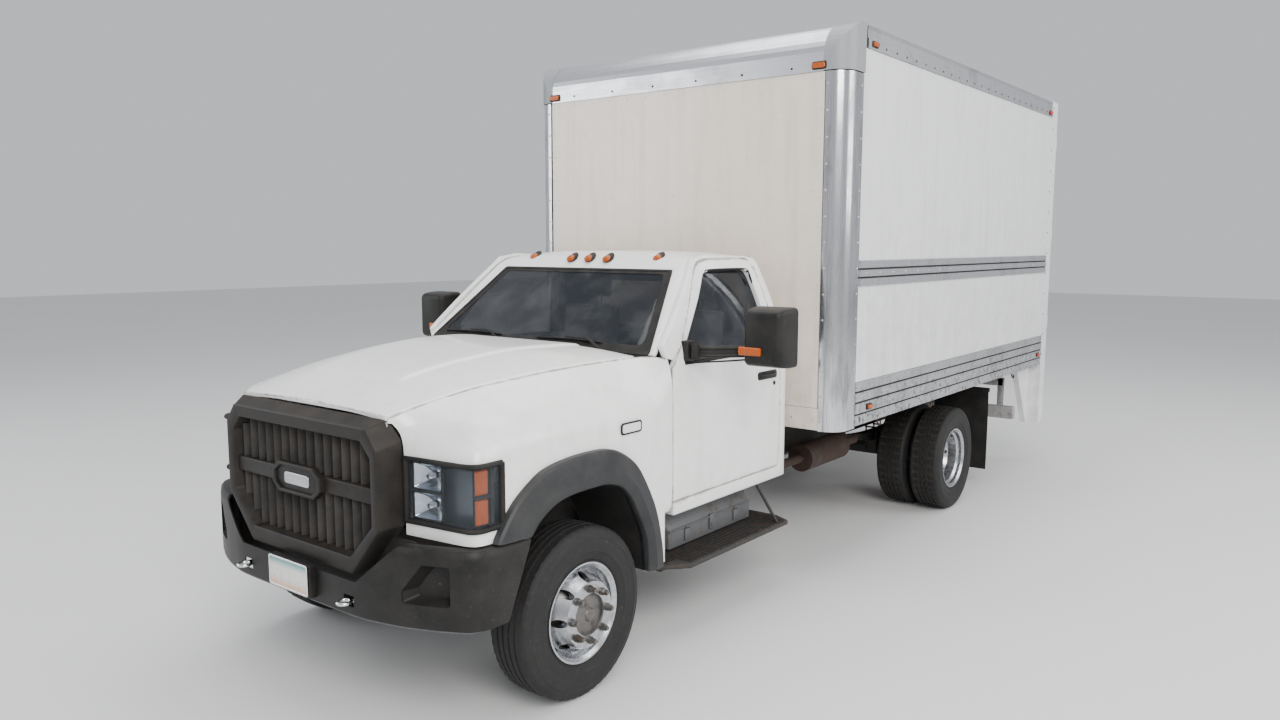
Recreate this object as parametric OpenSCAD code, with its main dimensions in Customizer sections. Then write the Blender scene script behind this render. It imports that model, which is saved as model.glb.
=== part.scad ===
// Medium-duty delivery truck: regular cab chassis with a dry-freight van body.
// Millimetres, +Z up, the cab looks along -Y and the driver's side is +X.
// Stations are measured along Y from the front axle; sy() turns one into a Y coordinate.

/* [Cargo body] */
// Width over the side panels
body_w = 2550; // [2500:10:2590]
// Length from the front wall to the rear face
body_l = 4506; // [4450:2:4560]
// Height of the roof edge above the ground
body_top = 3490; // [3470:10:3520]
// Height of the bottom rails above the ground
body_bottom = 1000; // [996:2:1004]
// Radius of the polished front corner posts
post_r = 130; // [110:5:150]

/* [Running gear] */
// Distance between the axles
wheelbase = 4382; // [4340:2:4400]
// Outside diameter of a tyre
tyre_d = 836; // [826:2:840]
// Section width of a tyre
tyre_w = 245; // [235:5:245]
// Distance between the centres of two rear tyres side by side
dual_spacing = 278; // [270:2:286]
// Rings of wheel nuts: number in each
nut_count = 8; // [6:1:10]

/* [Cab] */
// Width over the doors
cab_w = 1940; // [1930:5:1950]
// Height of the belt line, where the door glass starts
belt_z = 1510; // [1500:5:1520]
// Thickness of a door below the belt line
door_t = 110; // [100:5:120]

/* [Hidden] */

// Clearance left between pieces that are bolted or glued together
gap = 1;
// Stations of the ends of the truck, and the middle that becomes Y = 0
front_end = -933;
box_front = 2094;
box_rear = box_front + body_l;
rear_end = box_rear + 61;
middle = (front_end + rear_end) / 2;
hw = body_w / 2;
tyre_r = tyre_d / 2;
cab_hw = cab_w / 2;
// Frame rails: outer face, height of the bottom and of the top, flange and web
rail_x = 430;
rail_bot = 600;
rail_top = 860;
rail_flange = 75;
rail_web = 10;
// Planes across the truck
king_x = 800;
front_tyre_x = 912;
rear_inner_x = 812;
rear_outer_x = rear_inner_x + dual_spacing;
spring_x = 500;
arm_x = 722;
arm_s = 150;
// Curved side glass: radius of the cylinder, and its axis
glass_r = 1900;
glass_axis_x = -955;
glass_axis_z = 1250;
// Door hinge line
hinge_x = 962;
hinge_s = 782;
// Windscreen: half widths, stations and heights of its bottom and top edges
ws_bot = [865, 691, 1574];
ws_top = [671, 1162, 2006];
ws_tilt = atan2(ws_top[2] - ws_bot[2], ws_top[1] - ws_bot[1]);
// Steering column tilt above the horizontal
column_tilt = 32;
column_at = [420, 1010, 1420];
// Hood seam: half width, station, height of the seam, height of the crown
seam = [[565, -766, 1418, 1436], [628, -530, 1472, 1520], [676, -275, 1515, 1576],
  [750, 108, 1552, 1617], [822, 464, 1571, 1616], [846, 610, 1575, 1606]];
crown_x = 540;
// Wheel arch: points of the flare's outer and inner edge, station and height
flare_out = [[-560, 890], [-540, 930], [-450, 1041], [-330, 1125], [-242, 1162], [-80, 1184],
  [99, 1186], [200, 1174], [272, 1149], [360, 1094], [430, 1020], [541, 826], [600, 618], [615, 489]];
flare_in = [[487, 489], [487, 523], [478, 620], [458, 705], [376, 862], [330, 925], [271, 975],
  [180, 1004], [98, 1012], [-60, 1010], [-150, 1000], [-223, 976], [-300, 930], [-352, 877], [-360, 890]];

liner_x = 570;

function sy(s) = s - middle;

module at(s) { translate([0, sy(s), 0]) children(); }
module both() { children(); mirror([1, 0, 0]) children(); }
module side(left) { if (left) children(); else mirror([1, 0, 0]) children(); }
// Box given by its limits across, along (stations) and up
module slab(x0, x1, s0, s1, z0, z1) {
  translate([x0, sy(s0), z0]) cube([x1 - x0, s1 - s0, z1 - z0]);
}
// Outline in (station, height), extruded across from x0 to x1
module across(x0, x1) {
  translate([x0, sy(0), 0]) rotate([90, 0, 90]) linear_extrude(x1 - x0) children();
}
// Outline in (x, height), extruded along from station s0 to s1
module along(s0, s1) {
  translate([0, sy(s1), 0]) rotate([90, 0, 0]) linear_extrude(s1 - s0) children();
}
// Outline in (x, station), extruded up from z0 to z1
module upward(z0, z1) {
  translate([0, sy(0), z0]) linear_extrude(z1 - z0) children();
}
// Round bar across the truck
module cross_bar(r, x0, x1, s, z) {
  translate([x0, sy(s), z]) rotate([0, 90, 0]) cylinder(r = r, h = x1 - x0, $fn = 48);
}
// Upright round bar
module post(r, x, s, z0, z1) { translate([x, sy(s), z0]) cylinder(r = r, h = z1 - z0, $fn = 40); }
module ring_of(n) { for (i = [0:n - 1]) rotate([360 / n * i, 0, 0]) children(); }
// Solid turned about an axis across the truck, from an outline in (radius, x)
module turned(x, s, z) {
  translate([x, sy(s), z]) rotate([0, 90, 0]) rotate_extrude($fn = 96) children();
}

// ---- chassis -------------------------------------------------------------
module rail() {
  along(-700, 6380)
    polygon([[rail_x, rail_bot], [rail_x, rail_top], [rail_x - rail_flange, rail_top],
      [rail_x - rail_flange, rail_top - rail_web], [rail_x - rail_web, rail_top - rail_web],
      [rail_x - rail_web, rail_bot + rail_web], [rail_x - rail_flange, rail_bot + rail_web],
      [rail_x - rail_flange, rail_bot]]);
}
module chassis_frame() color([0.13, 0.13, 0.13]) {
  both() rail();
  inner = rail_x - rail_web - gap;
  for (s = [-640, 1780, 2560, 3500, 5300, 6300])
    slab(-inner, inner, s - 40, s + 40, rail_bot + 30, rail_top - 30);
  // Brackets that carry the front ends and shackles of the springs
  both() for (s = [-640, 640, wheelbase - 700, wheelbase + 700])
    slab(rail_x + gap, 548, s - 30, s + 30, 600, 690);
}
module leaf_pack(s, z, half, leaves) {
  r = 4200;
  for (i = [0:leaves - 1]) {
    low = z + 12.5 * i;
    reach = half - (leaves - 1 - i) * half / (leaves + 1.5);
    intersection() {
      translate([spring_x - 37, sy(s), low + r]) rotate([0, 90, 0]) difference() {
        cylinder(r = r, h = 74, $fn = 200);
        translate([0, 0, -1]) cylinder(r = r - 11.5, h = 76, $fn = 200);
      }
      slab(spring_x - 40, spring_x + 40, s - reach, s + reach, low - 5, low + 120);
    }
  }
}
// U-bolts and their bars, at a distance "reach" fore and aft of the axle
module spring_clamp(s, reach, z0, z1) {
  for (a = [-1, 1]) {
    slab(spring_x - 54, spring_x + 54, s + a * reach - 9, s + a * reach + 9, z1 - 12, z1);
    for (b = [-1, 1]) post(7, spring_x + b * 46, s + a * reach, z0, z1 - 12);
  }
}
module leaf_springs() color([0.16, 0.15, 0.14]) both() {
  leaf_pack(0, 478, 610, 4);
  spring_clamp(0, 56, 395, 560);
  leaf_pack(wheelbase, 502, 670, 6);
  spring_clamp(wheelbase, 78, 400, 610);
}
module front_axle_beam() color([0.15, 0.14, 0.13]) {
  difference() {
    union() {
      along(-42, 42) polygon([[-790, 385], [-700, 385], [-620, 350], [620, 350], [700, 385], [790, 385],
        [790, 450], [700, 450], [600, 430], [580, 475], [420, 475], [400, 430], [-400, 430],
        [-420, 475], [-580, 475], [-600, 430], [-700, 450], [-790, 450]]);
      both() post(34, king_x, 0, tyre_r - 60, tyre_r + 60);
    }
    both() post(18.08, king_x, 0, 0, 1000);
    both() slab(king_x, king_x + 200, -60, 60, 0, tyre_r - 61);
  }
}
module rear_axle_housing() color([0.15, 0.14, 0.13]) {
  z = tyre_r;
  difference() {
    union() {
      cross_bar(58, -700, 700, wheelbase, z);
      cross_bar(44, -1005, 1005, wheelbase, z);
      cross_bar(175, -95, 95, wheelbase, z);
      both() slab(spring_x - 36, spring_x + 36, wheelbase - 70, wheelbase + 70, z, 500);
      translate([0, sy(wheelbase) - 120, z]) rotate([90, 0, 0]) cylinder(r1 = 130, r2 = 62, h = 150, $fn = 48);
    }
    translate([0, sy(wheelbase) - 230, z]) rotate([90, 0, 0]) cylinder(r = 30.08, h = 60, $fn = 48);
  }
}
module drive_shaft() color([0.2, 0.2, 0.2]) {
  a = [0, sy(1730), 560];
  b = [0, sy(wheelbase) - 232, tyre_r];
  d = b - a;
  len = norm(d);
  tilt = atan2(d[2], d[1]);
  // The pinion stub runs level, so the tube ends at the flange in front of it
  translate(a) rotate([tilt - 90, 0, 0]) {
    cylinder(r = 48, h = len - 120, $fn = 48);
    cylinder(r = 62, h = 22, $fn = 48);
    translate([0, 0, len - 120]) cylinder(r = 60, h = 20, $fn = 48);
  }
}
module engine() color([0.3, 0.3, 0.31]) {
  // Block, head cover, sump, fan and shroud, radiator, bell housing and gearbox, each a separate solid
  slab(-230, 230, -300, 420, 800, 1180);
  both() slab(60, 250, -280, 400, 1181, 1300);
  slab(-55, 55, -200, 300, 1181, 1360);
  slab(-180, 180, -240, 360, 640, 799);
  slab(-350, 350, -560, -500, 800, 1330);
  slab(-300, 300, -499, -470, 860, 1270);
  translate([0, sy(-310), 1050]) rotate([90, 0, 0]) cylinder(r = 60, h = 120, $fn = 40);
  translate([0, sy(421 + 140), 860]) rotate([90, 0, 0]) cylinder(r1 = 150, r2 = 210, h = 139, $fn = 48);
  slab(-150, 150, 562, 1150, 640, 790);
  slab(-110, 110, 1151, 1640, 500, 700);
  translate([0, sy(1641), 560]) rotate([-90, 0, 0]) cylinder(r = 50, h = 78, $fn = 40);
}
module exhaust_muffler() color([0.35, 0.22, 0.15]) {
  // Front pipe, muffler can and tail pipe, end to end beside the left frame rail
  for (p = [[1900, 2829, 32], [2830, 3430, 100], [3431, 3720, 32]])
    translate([620, sy(p[0]), 610]) rotate([-90, 0, 0]) cylinder(r = p[2], h = p[1] - p[0], $fn = 48);
}
module fuel_tank() color([0.25, 0.25, 0.26]) {
  // Tank, its two straps and the filler cap, under the body on the passenger side
  along(2450, 3450) polygon([[-1010, 560], [-1040, 600], [-1040, 850], [-1010, 880], [-520, 880],
    [-480, 850], [-480, 600], [-520, 560]]);
  for (s = [2650, 3210]) {
    slab(-1046, -1041, s, s + 50, 590, 860);
    slab(-1000, -530, s, s + 50, 553, 559);
  }
  translate([-1041, sy(2530), 800]) rotate([0, -90, 0]) cylinder(r = 45, h = 30, $fn = 40);
}
module battery_box() color([0.19, 0.19, 0.18]) {
  // Body with a sloping lid, two front catches, and the hasp on the lid
  across(480, 850) polygon([[900, 452], [1760, 452], [1760, 556], [900, 556]]);
  along(900, 1760) polygon([[480, 557], [850, 557], [760, 690], [480, 690]]);
  for (s = [1050, 1560]) slab(851, 862, s, s + 50, 480, 530);
}
module step_boards() color([0.1, 0.1, 0.1]) both() {
  // Tread board with cut corners, two hanger brackets and the stay at the rear
  upward(410, 445) polygon([[700, 700], [930, 700], [1050, 840], [1050, 1900], [930, 1960], [700, 1960]]);
  for (s = [760, 1860]) slab(445, 900, s, s + 40, 380, 409);
  slab(431, 444, 700, 1960, 380, 599);
}

// ---- wheels and steering ---------------------------------------------------
module tyre(x, s) color([0.08, 0.08, 0.08]) {
  h = tyre_w / 2;
  outer = [[229, 92], [245, 92], [262, 105], [300, h - 4], [340, h], [385, h - 5], [409, h - 18],
    [tyre_r, h - 36]];
  inner = [[tyre_r - 22, h - 42], [390, h - 24], [340, h - 14], [300, h - 17], [262, h - 34], [229, h - 64]];
  turned(x, s, tyre_r) polygon(concat(
    outer, [for (i = [len(outer) - 1:-1:0]) [outer[i][0], -outer[i][1]]],
    [for (i = [len(inner) - 1:-1:0]) [inner[i][0], -inner[i][1]]], inner));
}
// Disc wheel; face is the side of the bolt face, 1 for outwards
module rim(x, s, face) color([0.72, 0.72, 0.74]) {
  translate([x, sy(s), tyre_r]) mirror([face < 0 ? 1 : 0, 0, 0]) difference() {
    rotate([0, 90, 0]) rotate_extrude($fn = 96)
      polygon([[242, 104], [242, 96], [227, 92.5], [225, 62], [208, 48], [208, -48], [225, -62], [227, -92.5],
        [242, -96], [242, -104], [233, -104], [217, -90], [215, -66], [198, -52], [198, 18], [146, 127],
        [101, 127], [101, 139 - gap / 2], [158, 139 - gap / 2], [204, 52], [215, 68], [217, 90], [233, 104]]);
    ring_of(8) translate([20, 0, 176]) rotate([0, 90, 0]) cylinder(r = 20, h = 130, $fn = 32);
  }
}
// The rear wheels of one side, m = 1 on the left; the two discs lie face to face
module tyre_pair(m) { tyre(m * rear_inner_x, wheelbase); tyre(m * rear_outer_x, wheelbase); }
module rim_pair(m) { rim(m * rear_inner_x, wheelbase, m); rim(m * rear_outer_x, wheelbase, -m); }
// Nuts stand off the disc they clamp by the clearance between pieces
module nuts(x) {
  ring_of(nut_count) translate([x + gap / 2, 0, 125]) rotate([0, 90, 0]) {
    cylinder(r = 19, h = 6, $fn = 32);
    cylinder(r = 16, h = 27, $fn = 6);
    cylinder(r = 10, h = 36, $fn = 24);
  }
}
module hub_front() color([0.45, 0.45, 0.46]) {
  translate([0, 0, tyre_r]) at(0) {
    rotate([0, 90, 0]) rotate_extrude($fn = 72)
      polygon([[0, 1052], [0, 1058], [28, 1058], [34, 1048], [80, 1040], [96, 1036], [96, 1000], [0, 1000]]);
    difference() {
      rotate([0, 90, 0]) rotate_extrude($fn = 72)
        polygon([[0, 999.5], [96, 999.5], [96, 1037], [98, 1037], [140, 1037], [140, 1025], [110, 1020],
          [110, 990], [150, 950], [185, 925], [185, 858], [60, 858], [0, 858]]);
      translate([800, 0, 0]) rotate([0, 90, 0]) cylinder(r = 30.08, h = 190, $fn = 48);
      rotate([0, 90, 0]) translate([0, 0, 999.5]) cylinder(r = 96.5, h = 40, $fn = 72);
      translate([857, 0, 0]) rotate([0, 90, 0]) difference() {
        cylinder(r = 172, h = 60, $fn = 72);
        translate([0, 0, -1]) cylinder(r = 60, h = 62, $fn = 72);
      }
    }
    nuts(1051);
  }
}
module hub_rear() color([0.45, 0.45, 0.46]) {
  translate([0, 0, tyre_r]) at(wheelbase) {
    difference() {
      rotate([0, 90, 0]) rotate_extrude($fn = 72)
        polygon([[0, 720], [185, 720], [185, 825], [140, 860], [140, 938], [98, 938], [96, 1010], [80, 1030],
          [0, 1034]]);
      translate([700, 0, 0]) rotate([0, 90, 0]) cylinder(r = 44.08, h = 310, $fn = 48);
      translate([719, 0, 0]) rotate([0, 90, 0]) difference() {
        cylinder(r = 172, h = 95, $fn = 72);
        translate([0, 0, -1]) cylinder(r = 70, h = 97, $fn = 72);
      }
    }
    nuts(963);
  }
}
module knuckle() color([0.17, 0.16, 0.15]) {
  z = tyre_r;
  post(18, king_x, 0, z - 92, z + 92);
  slab(836, 854, -62, 62, z - 92, z + 92);
  slab(766, 837, -34, 34, z + 62, z + 92);
  slab(766, 837, -34, 34, z - 92, z - 62);
  cross_bar(30, 853, 985, 0, z);
  // Steering arm, with the ball stud's seat at its end
  upward(z - 92, z - 66) polygon([[854, 20], [854, 62], [arm_x + 20, arm_s], [arm_x - 20, arm_s], [780, 20]]);
  post(22, arm_x, arm_s, z - 92, z - 66);
}
module tie_rod() color([0.2, 0.2, 0.2]) {
  z = tyre_r - 118;
  cross_bar(14, -arm_x, arm_x, arm_s, z);
  both() post(22, arm_x, arm_s, z - 20, z + 20);
}

// ---- front end ---------------------------------------------------------------
// Half of the bumper's outline from above; the curve runs from the middle to the wheel arch
bumper_half = [[0, -875], [460, -872], [580, -852], [700, -820], [830, -772], [930, -722], [985, -686],
  [1015, -645], [1030, -590], [1030, -340]];
module bumper_plan(inset) {
  offset(delta = -inset) polygon(concat(bumper_half, [for (i = [len(bumper_half) - 1:-1:1])
    [-bumper_half[i][0], bumper_half[i][1]]]));
}
bumper_wall = 22;
module front_bumper() color([0.11, 0.11, 0.11]) {
  difference() {
    union() {
      upward(530, 885) difference() {
        bumper_plan(0);
        bumper_plan(bumper_wall);
      }
      // Sockets of the lower lamps, and the apron behind the grille
      both() upward(612, 838) intersection() {
        difference() {
          bumper_plan(bumper_wall);
          bumper_plan(95);
        }
        translate([680, -900]) square([270, 300]);
      }
      along(-742, -730) difference() {
        translate([-715, 560]) square([1430, 325]);
        offset(delta = 4) polygon(grille_out);
      }
    }
    // The ends are cut to follow the tyre
    slab(-1007, 1007, -420, 0, 500, 950);
    across(-1100, 1100) polygon([[-354, 900], [-340, 900], [0, 900], [0, 500], [-520, 500], [-500, 545]]);
    // Low middle for the grille, lamp pockets, and holes for the tow eyes
    along(-1000, -745) polygon([[-458, 690], [458, 690], [708, 900], [-708, 900]]);
    both() along(-1000, -750) polygon([[705, 640], [915, 640], [915, 815], [800, 815], [705, 690]]);
    both() slab(372, 442, -900, -700, 570, 622);
  }
}
module tow_eyes() color([0.75, 0.75, 0.76]) both() difference() {
  union() {
    translate([407, sy(-897), 586]) cylinder(r = 36, h = 20, $fn = 64);
    slab(377, 437, -880, -702, 586, 606);
  }
  translate([407, sy(-897), 580]) cylinder(r = 20, h = 40, $fn = 64);
}
grille_out = [[-527, 1375], [527, 1375], [600, 1285], [600, 935], [403, 707], [-403, 707], [-600, 935],
  [-600, 1285]];
grille_in = [[-480, 1312], [480, 1312], [545, 1244], [545, 945], [386, 784], [-386, 784], [-545, 945],
  [-545, 1244]];
module grille_surround() color([0.11, 0.11, 0.11]) difference() {
  union() {
    along(-850, -700) polygon(grille_out);
    hull() {
      slab(-527, 527, -850, -849, 1340, 1375);
      slab(-558, 558, -776, -775, 1340, 1412);
    }
  }
  along(-900, -600) polygon(grille_in);
  slab(-700, 700, -775, -600, 1376, 1500);
}
module grille_insert() color([0.16, 0.15, 0.14]) {
  // Vanes, the bar across the middle and its badge plate, and the mesh panel behind
  h = 14;
  intersection() {
    along(-830, -740) offset(delta = -gap) polygon(grille_in);
    union() {
      for (i = [0:16]) slab(-528 + i * 65, -528 + i * 65 + h, -815, -765, 700, 1400);
      slab(-560, 560, -828, -760, 1035, 1110);
      slab(-560, 560, -764, -742, 700, 1400);
    }
  }
  along(-858, -829) polygon([[-150, 1030], [150, 1030], [195, 1072], [150, 1115], [-150, 1115], [-195, 1072]]);
}
lamp_plan = [[605, -702], [950, -656], [980, -642], [991, -610], [993, -500]];
module lamp_strip(t0, t1, z0, z1) {
  upward(z0, z1) difference() {
    polygon(concat([for (p = lamp_plan) [p[0] - (p[0] > 700 ? t0 : 0), p[1] + t0]],
      [for (i = [len(lamp_plan) - 1:-1:0]) [lamp_plan[i][0] - (lamp_plan[i][0] > 700 ? t1 : 0),
        lamp_plan[i][1] + t1]]));
    translate([600, -510]) square([500, 200]);
  }
}
module headlight_housings() color([0.1, 0.1, 0.1]) both() {
  lamp_strip(40, 90, 955, 1235);
  for (z = [955, 1223]) lamp_strip(8, 39, z, z + 12);
}
module headlight_lenses() color([0.7, 0.75, 0.78, 0.5]) both() lamp_strip(0, 7, 957, 1233);
// Outer form of the front end, before the hood, lamps and arches are cut from it
module front_block(d) {
  hull() for (m = [-1, 1]) {
    for (p = seam) translate([m * (p[0] + 30 - d), sy(max(p[1],
      -768 + 40 * d / 25)), p[2] - 8 - d]) cube(2, center = true);
    for (p = [[603, -702, 895], [950, -656, 900], [984, -642, 900], [993, -590, 895], [996, 762, 480],
        [980, -400, 480], [603, -702, 1300], [940, -652, 1270], [984, -628, 1265], [995, -560, 1270],
          [905, -600, 1350],
        [600, -715, 1370], [978, -300, 1400], [985, 100, 1440], [975, 762, 1470], [930, -300, 1470],
        [935, 100, 1505], [925, 762, 1530]])
      translate([m * (p[0] - d), sy(p[1] + (p[1] < 700 ? d : 2)),
        p[2] - (p[2] > 1000 ? d : -d - 30)]) cube(2, center = true);
  }
}
// Plan of the hood, from above
module hood_plan(grow) {
  polygon(concat([for (p = seam) [p[0] + grow, p[1] - (p[1] < -700 ? 100 : 0)]], [[880 + grow, 900]],
    [[-880 - grow, 900]], [for (i = [len(seam) - 1:-1:0]) [-seam[i][0] - grow,
      seam[i][1] - (seam[i][1] < -700 ? 100 : 0)]]));
}
module arch_opening() polygon(concat([for (i = [len(flare_in) - 2:-1:0]) flare_in[i]], [[487, 300],
  [-352, 300]]));
module fenders() color([0.85, 0.85, 0.84]) difference() {
  front_block(0);
  front_block(22);
  upward(300, 2000) hood_plan(4);
  slab(-604, 604, -1000, -500, 300, 2000);
  across(-1100, 1100) offset(delta = 6) arch_opening();
  slab(-1100, 1100, -900, 487, 300, 892);
  both() upward(945, 1245) polygon([[595, -760], [1100, -760], [1100, -499], [595, -499]]);
  slab(-1100, 1100, 683, 900, 300, 745);
}
module fender_flares() color([0.12, 0.12, 0.12]) both() difference() {
  union() {
    across(999, 1052) polygon(concat(flare_out, flare_in));
    // Liner over the tyre
    across(liner_x, 1000) difference() {
      offset(delta = 5) arch_opening();
      arch_opening();
    }
  }
  slab(500, 1100, -700, 0, 280, 893);
  slab(500, 1100, 0, 700, 280, 489);
}
// Crowned block under the hood's skin, taken in by "inset" on the top, sides and ends
module hood_block(inset) {
  ends = [seam[0][1] + inset, seam[len(seam) - 1][1] - inset];
  hull() for (m = [-1, 1], p = seam) {
    s = min(max(p[1], ends[0]), ends[1]);
    translate([m * (p[0] - inset), sy(s), 1300]) cube(1, center = true);
    translate([m * (p[0] - inset), sy(s), p[2] - inset]) cube(1, center = true);
    translate([m * crown_x * p[0] / 846, sy(s), p[3] - inset]) cube(1, center = true);
  }
}
hood_skin = 20;
module hood() color([0.88, 0.88, 0.87]) difference() {
  hood_block(0);
  hood_block(hood_skin);
  // Everything lower than the rim that lies along the seam
  across(-1200, 1200) polygon(concat([[-900, 1390], for (p = seam) [p[1], p[2] - 26]], [[700, 1549],
    [700, 1200], [-900, 1200]]));
}

// ---- cab ------------------------------------------------------------------------
// Shell of the curved cab side above the belt, between two radii
module side_curve(r0, r1, s0, s1) {
  translate([glass_axis_x, sy(s0), glass_axis_z]) rotate([-90, 0, 0]) difference() {
    cylinder(r = r1, h = s1 - s0, $fn = 240);
    translate([0, 0, -1]) cylinder(r = r0, h = s1 - s0 + 2, $fn = 240);
  }
}
// Side outlines, station and height
door_top = [[1866, 1512], [1896, 1512], [1868, 1700], [1812, 2010], [1790, 2050], [1740, 2068],
  [1330, 2068], [1230, 2050],
  [1165, 2004], [1010, 1800], [866, 1590], [800, 1512]];
window = [[905, 1512], [905, 1575], [1030, 1735], [1225, 1955], [1270, 1990], [1330, 2008], [1690, 2008],
  [1730, 1990],
  [1748, 1950], [1828, 1512]];
cab_top = [[1985, 1420], [1960, 1600], [1872, 2060], [1840, 2110], [1400, 2118], [1250, 2085],
  [1166, 2026], [640, 1540],
  [640, 1420]];
door_s0 = 772;
// Underside of the cab floor, which clears the frame rails
cab_floor_z = rail_top + 5;
door_s1 = 1900;
module cab_shell() color([0.86, 0.86, 0.85]) {
  // Sloping header over the windscreen, then the roof panel
  difference() {
    intersection() {
      along(1150, 1251) polygon([[-790, 1990], [-770, 2062], [-690, 2095], [-400, 2116], [400, 2116],
        [690, 2095],
        [770, 2062], [790, 1990]]);
      across(-800, 800) polygon([[1181, 2024], [1250, 2085], [1250, 2040], [1208, 2008], [1196, 2008]]);
    }
    both() across(725, 1100) offset(delta = 8) polygon(door_top);
  }
  intersection() {
    along(1150, 1870) polygon([[-790, 2030], [-770, 2062], [-690, 2095], [-400, 2116], [400, 2116], [690, 2095],
      [770, 2062], [790, 2030], [760, 2030], [680, 2064], [400, 2084], [-400, 2084], [-680, 2064],
        [-760, 2030]]);
    difference() {
      across(-900, 900) polygon([[1250, 2000], [1250, 2085], [1400, 2120], [1835, 2120], [1868, 2060],
        [1868, 2000]]);
      both() across(725, 1100) offset(delta = 8) polygon(door_top);
    }
  }
  // Side frames: windscreen pillar, roof rail and rear corner above the belt
  both() difference() {
    intersection() {
      side_curve(1860, 1925, 560, 1990);
      across(500, 1100) polygon([[1946, 1514], [1978, 1514], [1960, 1600], [1872, 2060], [1856, 2062],
        [1845, 2074],
        [1330, 2090], [1200, 2070], [1150, 2011], [690, 1590], [690, 1568], [770, 1568], [770, 1514]]);
      slab(680, 1000, 560, 1990, 1514, 2029);
    }
    across(0, 1100) offset(delta = 8) polygon(door_top);
  }
  // Frame of the windscreen
  difference() {
    on_screen() translate([0, 0, -26]) linear_extrude(25) difference() {
      polygon([[-905, 6], [905, 6], [790, screen_h + 24], [-790, screen_h + 24]]);
      polygon([[-866, 0], [866, 0], [670, screen_h], [-670, screen_h]]);
    }
    both() outside_curve(1858);
  }
  // Lower side frames: hinge pillar, sill and lock pillar
  both() {
    slab(862, 966, 1908, 1944, 778, 1513);
    slab(800, 850, 660, 730, 778, 1513);
    slab(862, 966, 768, 1984, 745, 768);
    slab(800, 858, 700, 1945, 745, cab_floor_z - 1);
  }
  // Back wall with the opening for the rear window
  difference() {
    across(-960, 960) polygon([[1985, 865], [1985, 1420], [1972, 1513], [1875, 2028], [1855, 2028],
      [1946, 1513], [1946, 865]]);
    slab(-520, 520, 1800, 2100, 1580, 1930);
    both() outside_curve(1858);
  }
  // Floor, firewall and cowl
  slab(-858, 858, 700, 1945, cab_floor_z, cab_floor_z + 32);
  slab(-790, 790, 660, 690, cab_floor_z, 1500);
  across(-848, 848) polygon([[630, 1501], [689, 1501], [689, 1566], [684, 1566], [684, 1538], [630, 1538]]);
}
// Room outside the curved side, cut from what must stay inside it
module outside_curve(r) {
  translate([0, sy(600), 0]) difference() {
    translate([300, 0, 1514]) cube([900, 1500, 700]);
    translate([glass_axis_x, -1, glass_axis_z]) rotate([-90, 0, 0]) cylinder(r = r, h = 1502, $fn = 240);
  }
}
// Slanted plate on the windscreen's plane
module on_screen() {
  translate([0, sy(ws_bot[1]), ws_bot[2]]) rotate([ws_tilt, 0, 0]) children();
}
screen_h = norm([ws_top[1] - ws_bot[1], ws_top[2] - ws_bot[2]]);
module cab_glass() color([0.35, 0.4, 0.42, 0.45]) {
  on_screen() translate([0, 0, -8]) linear_extrude(6)
    polygon([[-864, 2], [864, 2], [668, screen_h - 2], [-668, screen_h - 2]]);
  hull() {
    slab(-518, 518, 1952, 1958, 1582, 1583);
    slab(-518, 518, 1894, 1900, 1927, 1928);
  }
}
module dashboard() color([0.12, 0.12, 0.13]) {
  across(-780, 780) polygon([[732, 1150], [732, 1470], [800, 1500], [930, 1480], [975, 1400], [940, 1260],
    [830, 1150]]);
  // Steering column
  translate([column_at[0], sy(column_at[1]), column_at[2]]) rotate([-90 + column_tilt, 0, 0])
    translate([0, 0, -75]) cylinder(r = 32, h = 55, $fn = 40);
  // Inside mirror on its stalk
  slab(-110, 110, 1190, 1215, 1905, 1965);
}
module steering_wheel() color([0.1, 0.1, 0.1]) {
  translate([column_at[0], sy(column_at[1]), column_at[2]]) rotate([-90 + column_tilt, 0, 0]) {
    rotate_extrude($fn = 72) translate([200, 0]) circle(r = 15, $fn = 20);
    translate([0, 0, -18]) cylinder(r = 55, h = 34, $fn = 48);
    for (a = [0, 120, 240]) rotate([0, 0, a + 30]) translate([40, -16, -8]) cube([150, 32, 14]);
  }
}
// Cushion, backrest and headrest of one seat
module seat(x, w) {
  slab(x - w / 2, x + w / 2, 1180, 1690, 1010, 1170);
  slab(x - w / 2 + 40, x + w / 2 - 40, 1220, 1640, cab_floor_z + 33, 1009);
  hull() {
    slab(x - w / 2 + 10, x + w / 2 - 10, 1570, 1690, 1172, 1200);
    slab(x - w / 2 + 40, x + w / 2 - 40, 1725, 1800, 1760, 1780);
  }
  slab(x - 120, x + 120, 1735, 1830, 1785, 1950);
}
module seats() color([0.3, 0.3, 0.31]) {
  seat(420, 520);
  seat(-420, 520);
}
module wiper(left) color([0.06, 0.06, 0.06]) {
  // Spindle, arm and blade, parked along the bottom of the windscreen
  x = left ? 575 : -213;
  on_screen() translate([x, -30, 0]) {
    translate([0, 0, 2]) cylinder(r = 16, h = 34, $fn = 32);
    translate([0, 0, 22]) linear_extrude(9) polygon([[0, -8], [-140, 72], [-330, 84], [-330, 96],
      [-150, 88], [0, 10]]);
    translate([-560, 80, 8]) cube([500, 12, 14.5]);
  }
}
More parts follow.
